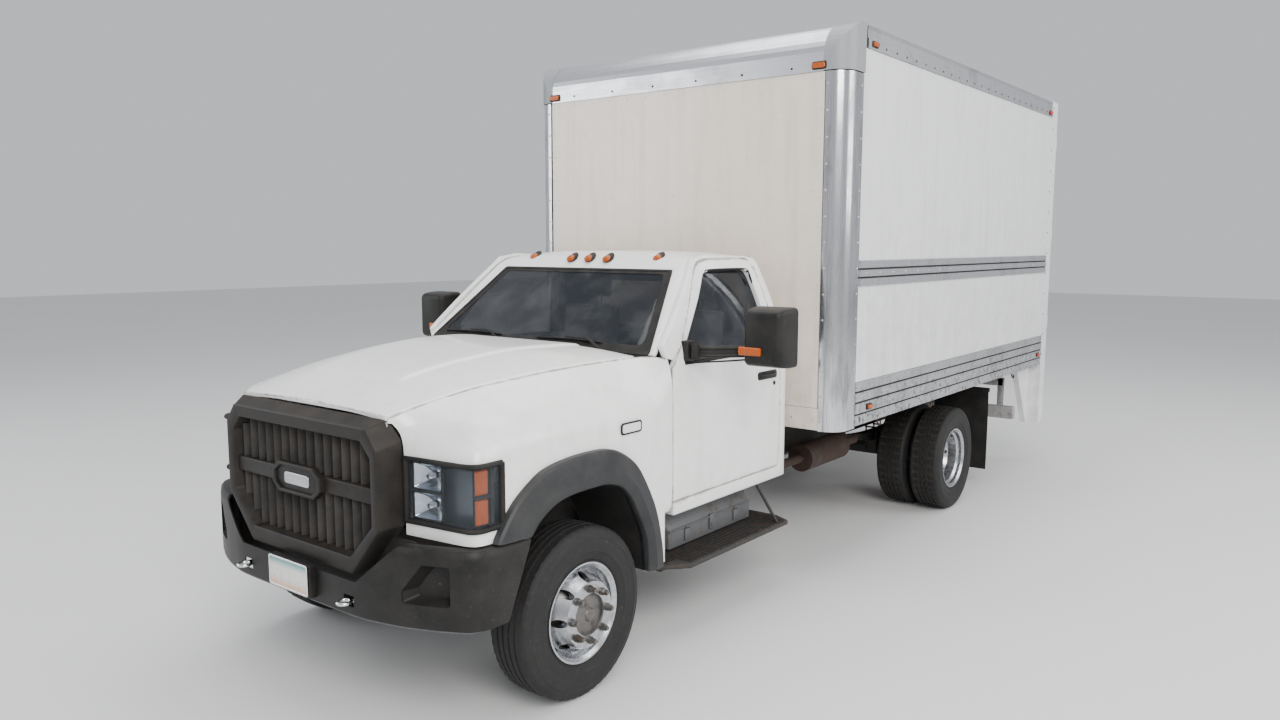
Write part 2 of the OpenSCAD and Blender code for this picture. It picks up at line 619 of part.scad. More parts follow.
module door() color([0.87, 0.87, 0.86]) {
  // Lower shell, hollow for the glass, with its slot at the belt
  difference() {
    upward(778, belt_z) polygon([[hinge_x + 6, door_s0], [cab_hw, door_s0 + 8], [cab_hw, door_s1],
      [cab_hw - door_t, door_s1],
      [cab_hw - door_t, door_s0 + 4], [cab_hw - door_t + 6, door_s0]]);
    slab(905, 955, 850, 1862, 800, 1600);
  }
  // Frame round the window
  difference() {
    intersection() {
      side_curve(1880, 1926, 700, 1990);
      across(600, 1100) polygon(door_top);
    }
    across(500, 1100) polygon(window);
    intersection() {
      side_curve(1889, 1901, 700, 1990);
      across(500, 1100) offset(delta = 14) polygon(window);
    }
  }
  // Outside handle, and the foot that the mirror swivels on
  slab(cab_hw + gap, cab_hw + 34, 1660, 1850, 1350, 1380);
  slab(925, cab_hw, 896, 964, 1536, 1630);
}
module door_glass() color([0.35, 0.4, 0.42, 0.45]) intersection() {
  side_curve(1892, 1898, 700, 1990);
  across(500, 1100) {
    offset(delta = 9) polygon(window);
    translate([896, belt_z - 45]) square([940, 60]);
  }
}
module mirror_arm() color([0.1, 0.1, 0.1]) {
  // Foot that swivels on the door, twin arm, and head
  post(26, 998, 930, 1545, 1620);
  hull() {
    slab(1010, 1016, 915, 945, 1550, 1615);
    slab(1196, 1202, 1080, 1120, 1555, 1615);
  }
  hull() {
    slab(1203, 1452, 1090, 1210, 1520, 1800);
    slab(1215, 1440, 1211, 1235, 1500, 1822);
    slab(1230, 1425, 1050, 1052, 1560, 1770);
  }
}

// ---- cargo body ----------------------------------------------------------------
floor_z = 1150;
frame_s = box_rear - 180;
leg_bot = 420;
gusset_s = frame_s - 380;
side_s0 = box_front + 228;
module box_floor() color([0.35, 0.28, 0.2]) {
  slab(-hw + 42, hw - 42, box_front + 50, frame_s - gap, floor_z - 30, floor_z);
  // Cross sills and the two long sills that sit on the frame rails
  for (s = [box_front + 60:420:frame_s - 80]) slab(-hw + 45, hw - 45, s, s + 50, 1012, floor_z - 31);
  both() slab(rail_x - 75, rail_x - 5, box_front + 26, frame_s - 20, rail_top + 1, 1011);
}
module box_front_wall() color([0.85, 0.8, 0.74]) {
  slab(-1126, 1126, box_front + 2, box_front + 24, 1130, 3195);
  slab(-1134, 1134, box_front - 6, box_front + 24, 990, 1128);
}
module box_side(left) color([0.9, 0.9, 0.9]) side(left) {
  slab(hw - 24, hw - 2, side_s0 + gap, frame_s - gap, 1282, 3352);
}
module box_roof() color([0.85, 0.85, 0.86]) {
  slab(-hw + 42, hw - 42, box_front + 240, frame_s - gap, body_top - 38, body_top - 14);
  // Rounded rail along the top of the front wall
  difference() {
    across(-1118, 1118) nose_profile(0);
    across(-1200, 1200) nose_profile(14);
  }
}
// Side outline of the front top edge: upright flange, arc and roof flange
module nose_profile(t) {
  r = 210;
  arc = [for (a = [180:-9:90]) [box_front - 4 + r + (r - t) * cos(a), body_top - r + (r - t) * sin(a)]];
  polygon(concat([[box_front - 4 + t, 3196 - t]], arc, [[box_front + 239, body_top - t],
    [box_front + 239 + t, body_top - r],
    [box_front + 239 + t, 3196 - t]]));
}
module corner_posts() color([0.78, 0.78, 0.8]) both() {
  upward(985, 3194) difference() {
    union() {
      polygon([[1135, box_front - 4], [hw - post_r, box_front - 4], [hw - post_r, box_front + 40],
        [1135, box_front + 40]]);
      translate([hw - post_r, box_front - 4 + post_r]) intersection() {
        circle(r = post_r, $fn = 96);
        translate([0, -post_r]) square(post_r);
      }
      polygon([[hw - 40, box_front - 4 + post_r], [hw, box_front - 4 + post_r], [hw, side_s0],
        [hw - 40, side_s0]]);
    }
    translate([hw - post_r, box_front - 4 + post_r]) circle(r = post_r - 6, $fn = 96);
    translate([1100, box_front + 2]) square([hw - post_r - 1100, 100]);
    translate([hw - 100, box_front - 4 + post_r]) square([94, 300]);
  }
  // Cast cap over the top corner
  difference() {
    intersection() {
      across(1119, hw + 6) nose_profile(-4);
      union() {
        slab(1119, hw - 120, box_front - 20, side_s0 + 40, 3150, 3600);
        translate([hw - 124, sy(box_front - 8 + 130), 3150]) intersection() {
          cylinder(r = 130, h = 500, $fn = 96);
          translate([0, -130, 0]) cube([130, 130, 500]);
        }
        slab(hw - 124, hw + 6, box_front - 8 + 130, side_s0 + 40, 3150, 3600);
      }
    }
    intersection() {
      across(1100, hw - 1) nose_profile(15);
      union() {
        slab(1100, hw - 123, box_front - 20, side_s0 + 100, 3100, 3600);
        translate([hw - 124, sy(box_front - 8 + 130), 3100]) cylinder(r = 118, h = 500, $fn = 96);
        slab(hw - 125, hw - 1, box_front - 8 + 130, side_s0 + 100, 3100, 3600);
      }
    }
    slab(1100, hw - 43, box_front + 238, box_front + 600, 3100, 3600);
  }
}
module side_rails() color([0.75, 0.76, 0.77]) both() {
  s0 = side_s0 + gap;
  s1 = frame_s - gap;
  // Ribbed bottom rail, rub rail and top rail
  along(s0, s1) polygon([[hw - 40, 1000], [hw + 6, 1000], [hw + 6, 1066], [hw, 1070], [hw + 8, 1074],
    [hw + 8, 1140],
    [hw + 1, 1144], [hw + 1, 1150], [hw + 8, 1154], [hw + 8, 1212], [hw + 1, 1216], [hw + 6, 1220],
      [hw + 6, 1280],
    [hw - 24, 1280], [hw - 24, 1240], [hw - 40, 1240]]);
  along(s0, s1) polygon([[hw - 1, 1890], [hw + 12, 1894], [hw + 12, 1940], [hw + 4, 1944], [hw + 4, 1950],
    [hw + 16, 1954],
    [hw + 16, 1994], [hw + 4, 1998], [hw + 4, 2004], [hw + 12, 2008], [hw + 12, 2052], [hw - 1, 2056]]);
  along(side_s0 + 41, s1) polygon([[hw - 40, 3354], [hw + 6, 3354], [hw + 6, 3412], [hw - 2, 3418],
    [hw - 2, 3466],
    [hw + 4, body_top], [hw - 40, body_top]]);
}
module rear_frame() color([0.88, 0.88, 0.86]) {
  difference() {
    union() {
      slab(-hw, hw, frame_s, box_rear, 1000, 3500);
      // Legs below the floor, each with a gusset plate and its flange
      both() {
        slab(hw - 110, hw, box_rear - 150, box_rear, leg_bot, 1001);
        across(hw - 108, hw - 100) polygon([[box_rear - 140, leg_bot], [box_rear - 140, 999], [gusset_s, 999],
          [box_rear - 190, leg_bot]]);
        across(hw - 150, hw - 100) polygon([[gusset_s, 999], [gusset_s - 14, 999], [box_rear - 204, leg_bot],
          [box_rear - 190, leg_bot]]);
      }
    }
    slab(-1185, 1185, frame_s - 10, box_rear + 10, floor_z, 3360);
    slab(-1000, 1000, frame_s - 10, box_rear - 60, 900, floor_z - 40);
    slab(-1240, 1240, frame_s - 10, box_rear - 14, 3380, 3480);
    // Rebate for the doors
    slab(-1235, 1235, box_rear - 46, box_rear + 10, floor_z - 4, 3400);
  }
  // Hinge barrels fixed to the frame
  both() for (z = [1400, 2260, 3120]) {
    post(11, hw - 12, box_rear + 16, z - 60, z - 22);
    post(11, hw - 12, box_rear + 16, z + 22, z + 60);
    post(6, hw - 12, box_rear + 16, z - 60, z + 60);
    slab(hw - 23, hw - 1, box_rear + gap / 2, box_rear + 12, z - 60, z - 22);
    slab(hw - 23, hw - 1, box_rear + gap / 2, box_rear + 12, z + 22, z + 60);
  }
}
module rear_guard() color([0.3, 0.3, 0.3]) {
  // Underrun bar on two struts, tail lamp boards and mud flaps on their brackets
  slab(-1110, 1110, 6215, 6275, 460, 590);
  both() slab(940, 1000, 6225, 6265, 591, 778);
  both() slab(rail_x + gap, 1000, 6225, 6265, 779, 858);
  both() {
    slab(700, 1190, 5200, 5210, 165, 900);
    slab(rail_x + gap, 1190, 5211, 5240, 860, 900);
  }
}
module cargo_door() color([0.9, 0.9, 0.89]) {
  // Leaf in its frame, and the three hinge straps with their barrels
  slab(8, 1228, box_rear - 42, box_rear - 6, floor_z + 2, 3394);
  for (z = [1400, 2260, 3120]) {
    difference() {
      union() {
        translate([hw - 12, sy(box_rear + 16), z - 21]) cylinder(r = 11, h = 42, $fn = 40);
        slab(1000, hw - 12, box_rear + 9, box_rear + 15, z - 21, z + 21);
        slab(1000, 1200, box_rear - 6, box_rear + 10, z - 21, z + 21);
      }
      translate([hw - 12, sy(box_rear + 16), z - 30]) cylinder(r = 6.08, h = 60, $fn = 40);
    }
  }
  // Guides that the lock rod turns in
  for (z = [1280, 2000, 3260]) difference() {
    slab(110, 170, box_rear - 5, box_rear + 46, z - 20, z + 20);
    post(14.08, 140, box_rear + 26, z - 50, z + 50);
  }
}
module lock_rod() color([0.7, 0.7, 0.72]) {
  // Rod, cams at both ends, and the handle
  post(14, 140, box_rear + 26, floor_z + 12, 3384);
  for (z = [floor_z + 14, 3352]) slab(126, 154, box_rear + 13, box_rear + 61, z, z + 30);
  slab(140, 520, box_rear + 16, box_rear + 30, 1620, 1660);
}

chassis_frame();
front_axle_beam();
rear_axle_housing();
leaf_springs();
drive_shaft();
engine();
exhaust_muffler();
fuel_tank();
battery_box();
step_boards();
front_bumper();
tow_eyes();
grille_surround();
grille_insert();
headlight_housings();
headlight_lenses();
fenders();
fender_flares();
cab_shell();
cab_glass();
dashboard();
seats();
hood();
wiper(true);  // wiper_left
wiper(false);  // wiper_right
steering_wheel();
door();  // door_left
side(false) door();  // door_right
door_glass();  // door_glass_left
side(false) door_glass();  // door_glass_right
mirror_arm();  // mirror_left
side(false) mirror_arm();  // mirror_right
knuckle();  // knuckle_left
side(false) knuckle();  // knuckle_right
tie_rod();
tyre(front_tyre_x, 0);  // tyre_front_left
tyre(-front_tyre_x, 0);  // tyre_front_right
tyre_pair(1);  // tyres_rear_left
tyre_pair(-1);  // tyres_rear_right
rim(front_tyre_x, 0, 1);  // rim_front_left
rim(-front_tyre_x, 0, -1);  // rim_front_right
rim_pair(1);  // rims_rear_left
rim_pair(-1);  // rims_rear_right
hub_front();  // hub_front_left
side(false) hub_front();  // hub_front_right
hub_rear();  // hub_rear_left
side(false) hub_rear();  // hub_rear_right
box_floor();
box_front_wall();
box_side(true);  // box_side_left
box_side(false);  // box_side_right
box_roof();
corner_posts();
side_rails();
rear_frame();
rear_guard();
cargo_door();  // cargo_door_left
side(false) cargo_door();  // cargo_door_right
lock_rod();  // lock_rod_left
side(false) lock_rod();  // lock_rod_right
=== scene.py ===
"""Box-bodied delivery truck: smooth panels, lamps, tyres, trim and finishes around the packed CAD frame."""

import math

import bmesh
import bpy
from bpy.props import FloatProperty, FloatVectorProperty, IntProperty, PointerProperty
from mathutils import Matrix, Vector


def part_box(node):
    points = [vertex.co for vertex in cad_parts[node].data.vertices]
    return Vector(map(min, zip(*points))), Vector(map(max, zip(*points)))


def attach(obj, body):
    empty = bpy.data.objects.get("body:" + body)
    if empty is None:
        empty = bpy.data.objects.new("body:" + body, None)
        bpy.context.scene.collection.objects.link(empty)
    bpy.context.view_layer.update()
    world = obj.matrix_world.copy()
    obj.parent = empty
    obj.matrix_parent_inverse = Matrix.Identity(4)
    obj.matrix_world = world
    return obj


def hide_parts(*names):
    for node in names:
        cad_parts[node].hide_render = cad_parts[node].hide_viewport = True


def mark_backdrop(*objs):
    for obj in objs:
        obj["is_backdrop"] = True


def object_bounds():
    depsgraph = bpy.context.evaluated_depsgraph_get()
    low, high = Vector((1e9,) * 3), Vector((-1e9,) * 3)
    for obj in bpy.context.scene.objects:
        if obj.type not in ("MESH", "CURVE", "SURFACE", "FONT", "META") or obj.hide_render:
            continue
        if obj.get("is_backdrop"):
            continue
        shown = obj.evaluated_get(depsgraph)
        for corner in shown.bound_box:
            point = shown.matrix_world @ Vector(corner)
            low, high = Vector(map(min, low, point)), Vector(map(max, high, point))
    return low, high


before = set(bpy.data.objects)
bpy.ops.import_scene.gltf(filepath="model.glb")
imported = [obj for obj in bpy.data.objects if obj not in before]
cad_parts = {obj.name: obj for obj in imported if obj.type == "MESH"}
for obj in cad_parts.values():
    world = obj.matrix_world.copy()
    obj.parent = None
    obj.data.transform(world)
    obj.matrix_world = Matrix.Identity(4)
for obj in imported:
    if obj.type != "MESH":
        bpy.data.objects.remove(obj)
CAD_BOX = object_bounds()

bl_info = {
    "name": "Delivery Truck Builder",
    "version": (1, 0, 0),
    "blender": (4, 5, 0),
    "location": "3D View > Sidebar > Truck",
    "description": "Builds the panels, trim, wheels and finishes of a box-bodied delivery truck",
    "category": "Object",
}

# ---- places: the axles and the body's ends worked out from the frame, the rest given -------------


def centre_of(node):
    """Middle of a CAD node's box."""
    low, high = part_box(node)
    return (low + high) / 2


AXLE = centre_of("tyre_front_left")
REAR_AXLE = centre_of("tyres_rear_left")
TYRE_R = AXLE.z
BODY_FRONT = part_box("box_front_wall")[0].y + 0.006
BODY_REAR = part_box("rear_frame")[1].y - 0.027
BODY_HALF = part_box("rear_frame")[1].x
# Grid of the cushions' cloth, its frames, and how far a point of it may move
CUSHION_VOXEL = 0.009
CUSHION_FRAMES = 16
CUSHION_GROWTH = 0.012
SCREEN_LOW = Vector((0.866, 0.691, 1.574))
SCREEN_HIGH = Vector((0.671, 1.162, 2.006))
SCREEN_TILT = math.atan2(SCREEN_HIGH.z - SCREEN_LOW.z, SCREEN_HIGH.y - SCREEN_LOW.y)


def at(x, station, z):
    """Point at a distance behind the front axle, in the frame's own coordinates."""
    return Vector((x, AXLE.y + station, z))


# ---- sizes and colours that a user would change --------------------------------------------------


def length(name, description, default):
    return FloatProperty(name=name, description=description, default=default, min=0.0, subtype="DISTANCE")


def colour(name, description, default):
    return FloatVectorProperty(
        name=name, description=description, default=default, size=3, min=0.0, max=1.0, subtype="COLOR"
    )


class TruckColours(bpy.types.PropertyGroup):
    """Paint and plastic colours."""

    cab: colour("Cab paint", "White enamel of the cab", (0.90, 0.90, 0.885))
    side: colour("Side panels", "White of the cargo body's sides", (0.83, 0.84, 0.845))
    front: colour("Front wall", "Warm white of the cargo body's front wall", (0.80, 0.71, 0.62))
    plastic: colour("Trim", "Black grained plastic", (0.011, 0.0108, 0.0105))
    dust: colour("Dust", "Road dust lying on dark parts", (0.17, 0.145, 0.12))
    rust: colour("Rust", "Bare rusted steel in chips", (0.14, 0.055, 0.025))
    marker: colour("Marker lamps", "Amber of the lamps and reflectors", (0.42, 0.078, 0.003))


class TruckPanels(bpy.types.PropertyGroup):
    """Sheet metal of the cab and the cargo body."""

    seam: length("Seam", "Gap between neighbouring panels", 0.005)
    skin: length("Skin", "Thickness of a pressed panel", 0.004)
    edge: length("Edge radius", "Radius rolled on a plate's edges", 0.004)
    wear: length("Wear width", "How far chips reach in from an edge", 0.016)


class TruckFasteners(bpy.types.PropertyGroup):
    """Rivets and screws, placed in rows."""

    rivet: length("Rivet radius", "Radius of a dome rivet", 0.0075)
    screw: length("Screw radius", "Radius of a pan-head screw", 0.008)
    pitch: length("Rivet pitch", "Distance between rivets in a row", 0.15)
    sides: IntProperty(name="Sides", description="Facets round a fastener", default=12, min=6)


class TruckWheels(bpy.types.PropertyGroup):
    """Tyres and rims."""

    segments: IntProperty(name="Segments", description="Steps round a tyre", default=168, min=64)
    groove: length("Groove depth", "Depth of the tread grooves", 0.011)
    holes: IntProperty(name="Hand holes", description="Holes round a rim's disc", default=8, min=4)


class TruckStage(bpy.types.PropertyGroup):
    """Camera and lights."""

    lens: FloatProperty(
        name="Lens", description="Focal length in millimetres on a 36 mm sensor", default=26.91
    )
    key: FloatProperty(name="Key light", description="Power of the main soft light", default=1250.0)
    sky: FloatProperty(name="Sky", description="Strength of the even light all round", default=0.70)


def sizes():
    """The scene's property groups, for the operators to read."""
    scene = bpy.context.scene
    groups = ("colours", "panels", "fasteners", "wheels", "stage")
    return tuple(getattr(scene, "truck_" + group) for group in groups)


# ---- outlines and curves --------------------------------------------------------------------------


def spline(points, count):
    """Smooth curve through points of any dimension, resampled to count points."""
    pts = [Vector(p) for p in points]
    pts = [pts[0] * 2 - pts[1], *pts, pts[-1] * 2 - pts[-2]]
    spans = len(pts) - 3
    out = []
    for i in range(count):
        u = i / (count - 1) * spans
        k = min(int(u), spans - 1)
        t = u - k
        a, b, c, d = pts[k : k + 4]
        out.append(
            0.5 * (
                2 * b + (c - a) * t + (2 * a - 5 * b + 4 * c - d) * t * t + (3 * b - a - 3 * c + d) * t**3
            )
        )
    return out


def along_line(points, share):
    """Point at a share of the way along a polyline."""
    pts = [Vector(p) for p in points]
    spans = [(b - a).length for a, b in zip(pts, pts[1:])]
    left = share * sum(spans)
    for a, b, span in zip(pts, pts[1:], spans):
        if left <= span or b is pts[-1]:
            return a.lerp(b, left / span if span else 0)
        left -= span
    return pts[-1]


def table(pairs, x):
    """Straight-line value between (x, value) pairs."""
    for (x0, y0), (x1, y1) in zip(pairs, pairs[1:]):
        if x <= x1:
            return y0 + (y1 - y0) * max(0.0, (x - x0) / (x1 - x0))
    return pairs[-1][1]


def ease(t):
    """Smooth step from 0 to 1."""
    t = min(max(t, 0.0), 1.0)
    return t * t * (3 - 2 * t)


def rounded(points, radius, steps=6):
    """Closed polygon with each corner replaced by an arc; radius may be one number or one per corner."""
    out = []
    n = len(points)
    for i in range(n):
        p = Vector(points[i])
        a = Vector(points[i - 1]) - p
        b = Vector(points[(i + 1) % n]) - p
        r = radius[i] if isinstance(radius, (list, tuple)) else radius
        if r <= 0:
            out.append(p)
            continue
        half = a.angle(b) / 2
        reach = min(r / math.tan(half), a.length * 0.49, b.length * 0.49)
        start, end = p + a.normalized() * reach, p + b.normalized() * reach
        for k in range(steps + 1):
            t = k / steps
            out.append(start * (1 - t) ** 2 + p * 2 * t * (1 - t) + end * t * t)
    return out


def rectangle(u0, u1, v0, v1, radius=0.0):
    return rounded([(u0, v0), (u1, v0), (u1, v1), (u0, v1)], radius)


# ---- meshes -----------------------------------------------------------------------------------------


def make(name, verts, faces, smooth=True, angle=35):
    """New mesh object in the scene, its faces turned outwards and smoothed up to an angle."""
    mesh = bpy.data.meshes.new(name)
    mesh.from_pydata([tuple(v) for v in verts], [], faces)
    obj = bpy.data.objects.new(name, mesh)
    bpy.context.scene.collection.objects.link(obj)
    return tidy(obj, smooth, angle)


def tidy(obj, smooth=True, angle=35):
    """Merges doubles, turns the faces outwards and marks sharp edges."""
    bm = bmesh.new()
    bm.from_mesh(obj.data)
    bmesh.ops.remove_doubles(bm, verts=bm.verts, dist=2e-5)
    bmesh.ops.recalc_face_normals(bm, faces=bm.faces)
    for edge in bm.edges:
        edge.smooth = len(edge.link_faces) != 2 or edge.calc_face_angle(0) < math.radians(angle)
    for face in bm.faces:
        face.smooth = smooth
    bm.to_mesh(obj.data)
    bm.free()
    return obj


def apply_all(obj, angle=35):
    """Replaces an object's mesh with the result of its modifiers."""
    bpy.context.view_layer.update()
    graph = bpy.context.evaluated_depsgraph_get()
    mesh = bpy.data.meshes.new_from_object(obj.evaluated_get(graph))
    obj.modifiers.clear()
    obj.data = mesh
    return tidy(obj, True, angle)


def bevelled(obj, width, segments=2, angle=30):
    """Rounds an object's sharp edges."""
    bevel = obj.modifiers.new("round", "BEVEL")
    bevel.width = width
    bevel.segments = segments
    bevel.limit_method = "ANGLE"
    bevel.angle_limit = math.radians(angle)
    bevel.use_clamp_overlap = True
    return apply_all(obj, 50)


def joined(name, objs):
    """One object from several."""
    verts, faces = [], []
    for obj in objs:
        start = len(verts)
        verts += [obj.matrix_world @ v.co for v in obj.data.vertices]
        faces += [[start + i for i in p.vertices] for p in obj.data.polygons]
        bpy.data.objects.remove(obj)
    result = make(name, verts, faces)
    return result


def mirrored(obj, name):
    """Copy of an object on the other side of the truck."""
    verts = [Vector((-v.co.x, v.co.y, v.co.z)) for v in obj.data.vertices]
    faces = [list(reversed(p.vertices)) for p in obj.data.polygons]
    return make(name, verts, faces)


def block(name, low, high, bevel=0.0, segments=2):
    """Box between two corners, with rounded edges."""
    x0, y0, z0 = low
    x1, y1, z1 = high
    corners = [(x, y, z) for x in (x0, x1) for y in (y0, y1) for z in (z0, z1)]
    faces = [(0, 1, 3, 2), (4, 6, 7, 5), (0, 4, 5, 1), (2, 3, 7, 6), (0, 2, 6, 4), (1, 5, 7, 3)]
    obj = make(name, corners, faces)
    return bevelled(obj, bevel, segments) if bevel else obj


def loft(name, rings, closed=False, caps=False, angle=35):
    """Surface through rings of equally many points; closed joins each ring's ends."""
    n = len(rings[0])
    verts = [p for ring in rings for p in ring]
    faces = []
    for i in range(len(rings) - 1):
        for j in range(n if closed else n - 1):
            k = (j + 1) % n
            faces.append((i * n + j, i * n + k, (i + 1) * n + k, (i + 1) * n + j))
    if caps:
        faces.append(list(reversed(range(n))))
        faces.append([(len(rings) - 1) * n + j for j in range(n)])
    return make(name, verts, faces, angle=angle)


def thickened(obj, thickness, inside, angle=35):
    """Gives an open surface a wall on the side of an inner point."""
    lean = sum((p.center - Vector(inside)).dot(p.normal) * p.area for p in obj.data.polygons)
    if lean < 0:
        obj.data.flip_normals()
    solid = obj.modifiers.new("wall", "SOLIDIFY")
    solid.thickness = thickness
    solid.offset = -1.0
    solid.use_even_offset = True
    return apply_all(obj, angle)


def cut(obj, cutter, operation="DIFFERENCE", angle=35):
    """Boolean of two closed meshes; the cutter is used up."""
    boolean = obj.modifiers.new("cut", "BOOLEAN")
    boolean.operation = operation
    boolean.object = cutter
    boolean.solver = "EXACT"
    apply_all(obj, angle)
    bpy.data.objects.remove(cutter)
    return obj


def plate(name, outline, holes, thickness, bend, radius=0.004, step=0.03, angle=40):
    """Flat plate with rounded edges, cut into strips and then laid on a surface by bend(u, v, depth)."""
    curve = bpy.data.curves.new(name, "CURVE")
    curve.dimensions = "2D"
    curve.fill_mode = "BOTH"
    radius = min(radius, thickness * 0.49)
    curve.extrude = thickness / 2 - radius
    curve.bevel_depth = radius
    curve.bevel_resolution = 2
    curve.offset = -radius
    for ring in [outline, *holes]:
        line = curve.splines.new("POLY")
        line.points.add(len(ring) - 1)
        for point, place in zip(line.points, ring):
            point.co = (place[0], place[1], 0, 1)
        line.use_cyclic_u = True
    holder = bpy.data.objects.new(name + "_outline", curve)
    bpy.context.scene.collection.objects.link(holder)
    bpy.context.view_layer.update()
    graph = bpy.context.evaluated_depsgraph_get()
    mesh = bpy.data.meshes.new_from_object(holder.evaluated_get(graph))
    bpy.data.objects.remove(holder)
    bm = bmesh.new()
    bm.from_mesh(mesh)
    bmesh.ops.remove_doubles(bm, verts=bm.verts, dist=1e-5)
    spans = [[f(v.co[i] for v in bm.verts) for f in (min, max)] for i in (0, 1)]
    for axis, (low, high) in enumerate(spans):
        for k in range(1, int((high - low) / step) + 1):
            place = [0, 0, 0]
            normal = [0, 0, 0]
            place[axis] = low + k * (high - low) / (int((high - low) / step) + 1)
            normal[axis] = 1
            geometry = bm.verts[:] + bm.edges[:] + bm.faces[:]
            bmesh.ops.bisect_plane(bm, geom=geometry, plane_co=place, plane_no=normal, dist=1e-5)
    for v in bm.verts:
        v.co = bend(v.co.x, v.co.y, thickness / 2 - v.co.z)
    bm.to_mesh(mesh)
    bm.free()
    obj = bpy.data.objects.new(name, mesh)
    bpy.context.scene.collection.objects.link(obj)
    return tidy(obj, True, angle)


def tube(name, path, radius, sides=12, caps=True):
    """Round bar along a path of points."""
    pts = [Vector(p) for p in path]
    rings = []
    up = Vector((0, 0, 1))
    for i, p in enumerate(pts):
        run = (pts[min(i + 1, len(pts) - 1)] - pts[max(i - 1, 0)]).normalized()
        side = run.cross(up if abs(run.z) < 0.95 else Vector((1, 0, 0))).normalized()
        other = side.cross(run)
        turns = [2 * math.pi * k / sides for k in range(sides)]
        rings.append([p + radius * (math.cos(a) * side + math.sin(a) * other) for a in turns])
    return loft(name, rings, closed=True, caps=caps)


def turned(name, profile, centre, segments, axis="X", dent=None):
    """Solid of revolution from (radius, offset) points about an axis through centre."""
    rings = []
    for k in range(segments):
        a = 2 * math.pi * k / segments
        ring = []
        for i, (r, h) in enumerate(profile):
            r = r - (dent(i, k) if dent else 0)
            if axis == "X":
                ring.append(Vector(centre) + Vector((h, r * math.cos(a), r * math.sin(a))))
            else:
                ring.append(Vector(centre) + Vector((r * math.cos(a), r * math.sin(a), h)))
        rings.append(ring)
    n = len(profile)
    verts = [p for ring in rings for p in ring]
    faces = []
    for k in range(segments):
        m = (k + 1) % segments
        for i in range(n - 1):
            faces.append((k * n + i, k * n + i + 1, m * n + i + 1, m * n + i))
    return make(name, verts, faces)


def mark_wear(obj, lines, reach):
    """Stores on each vertex how near it lies to the given lines: 1 on a line, 0 beyond reach."""
    segments = [(Vector(a), Vector(b)) for line in lines for a, b in zip(line, line[1:])]
    values = []
    for v in obj.data.vertices:
        best = reach
        for a, b in segments:
            run = b - a
            t = min(max((v.co - a).dot(run) / run.length_squared, 0), 1) if run.length_squared else 0
            best = min(best, (v.co - a - run * t).length)
        values.append(1 - best / reach)
    attribute = obj.data.attributes.new("wear", "FLOAT", "POINT")
    attribute.data.foreach_set("value", values)
    return obj


def fitted(obj, body, slot, material, *nodes):
    """Gives a finished piece its material and body, and hides the CAD nodes it stands for; the slot is not
    used.
    """
    obj.data.materials.clear()
    obj.data.materials.append(material)
    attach(obj, body)
    if nodes:
        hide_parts(*nodes)
    return obj


# ---- finishes ----------------------------------------------------------------------------------------


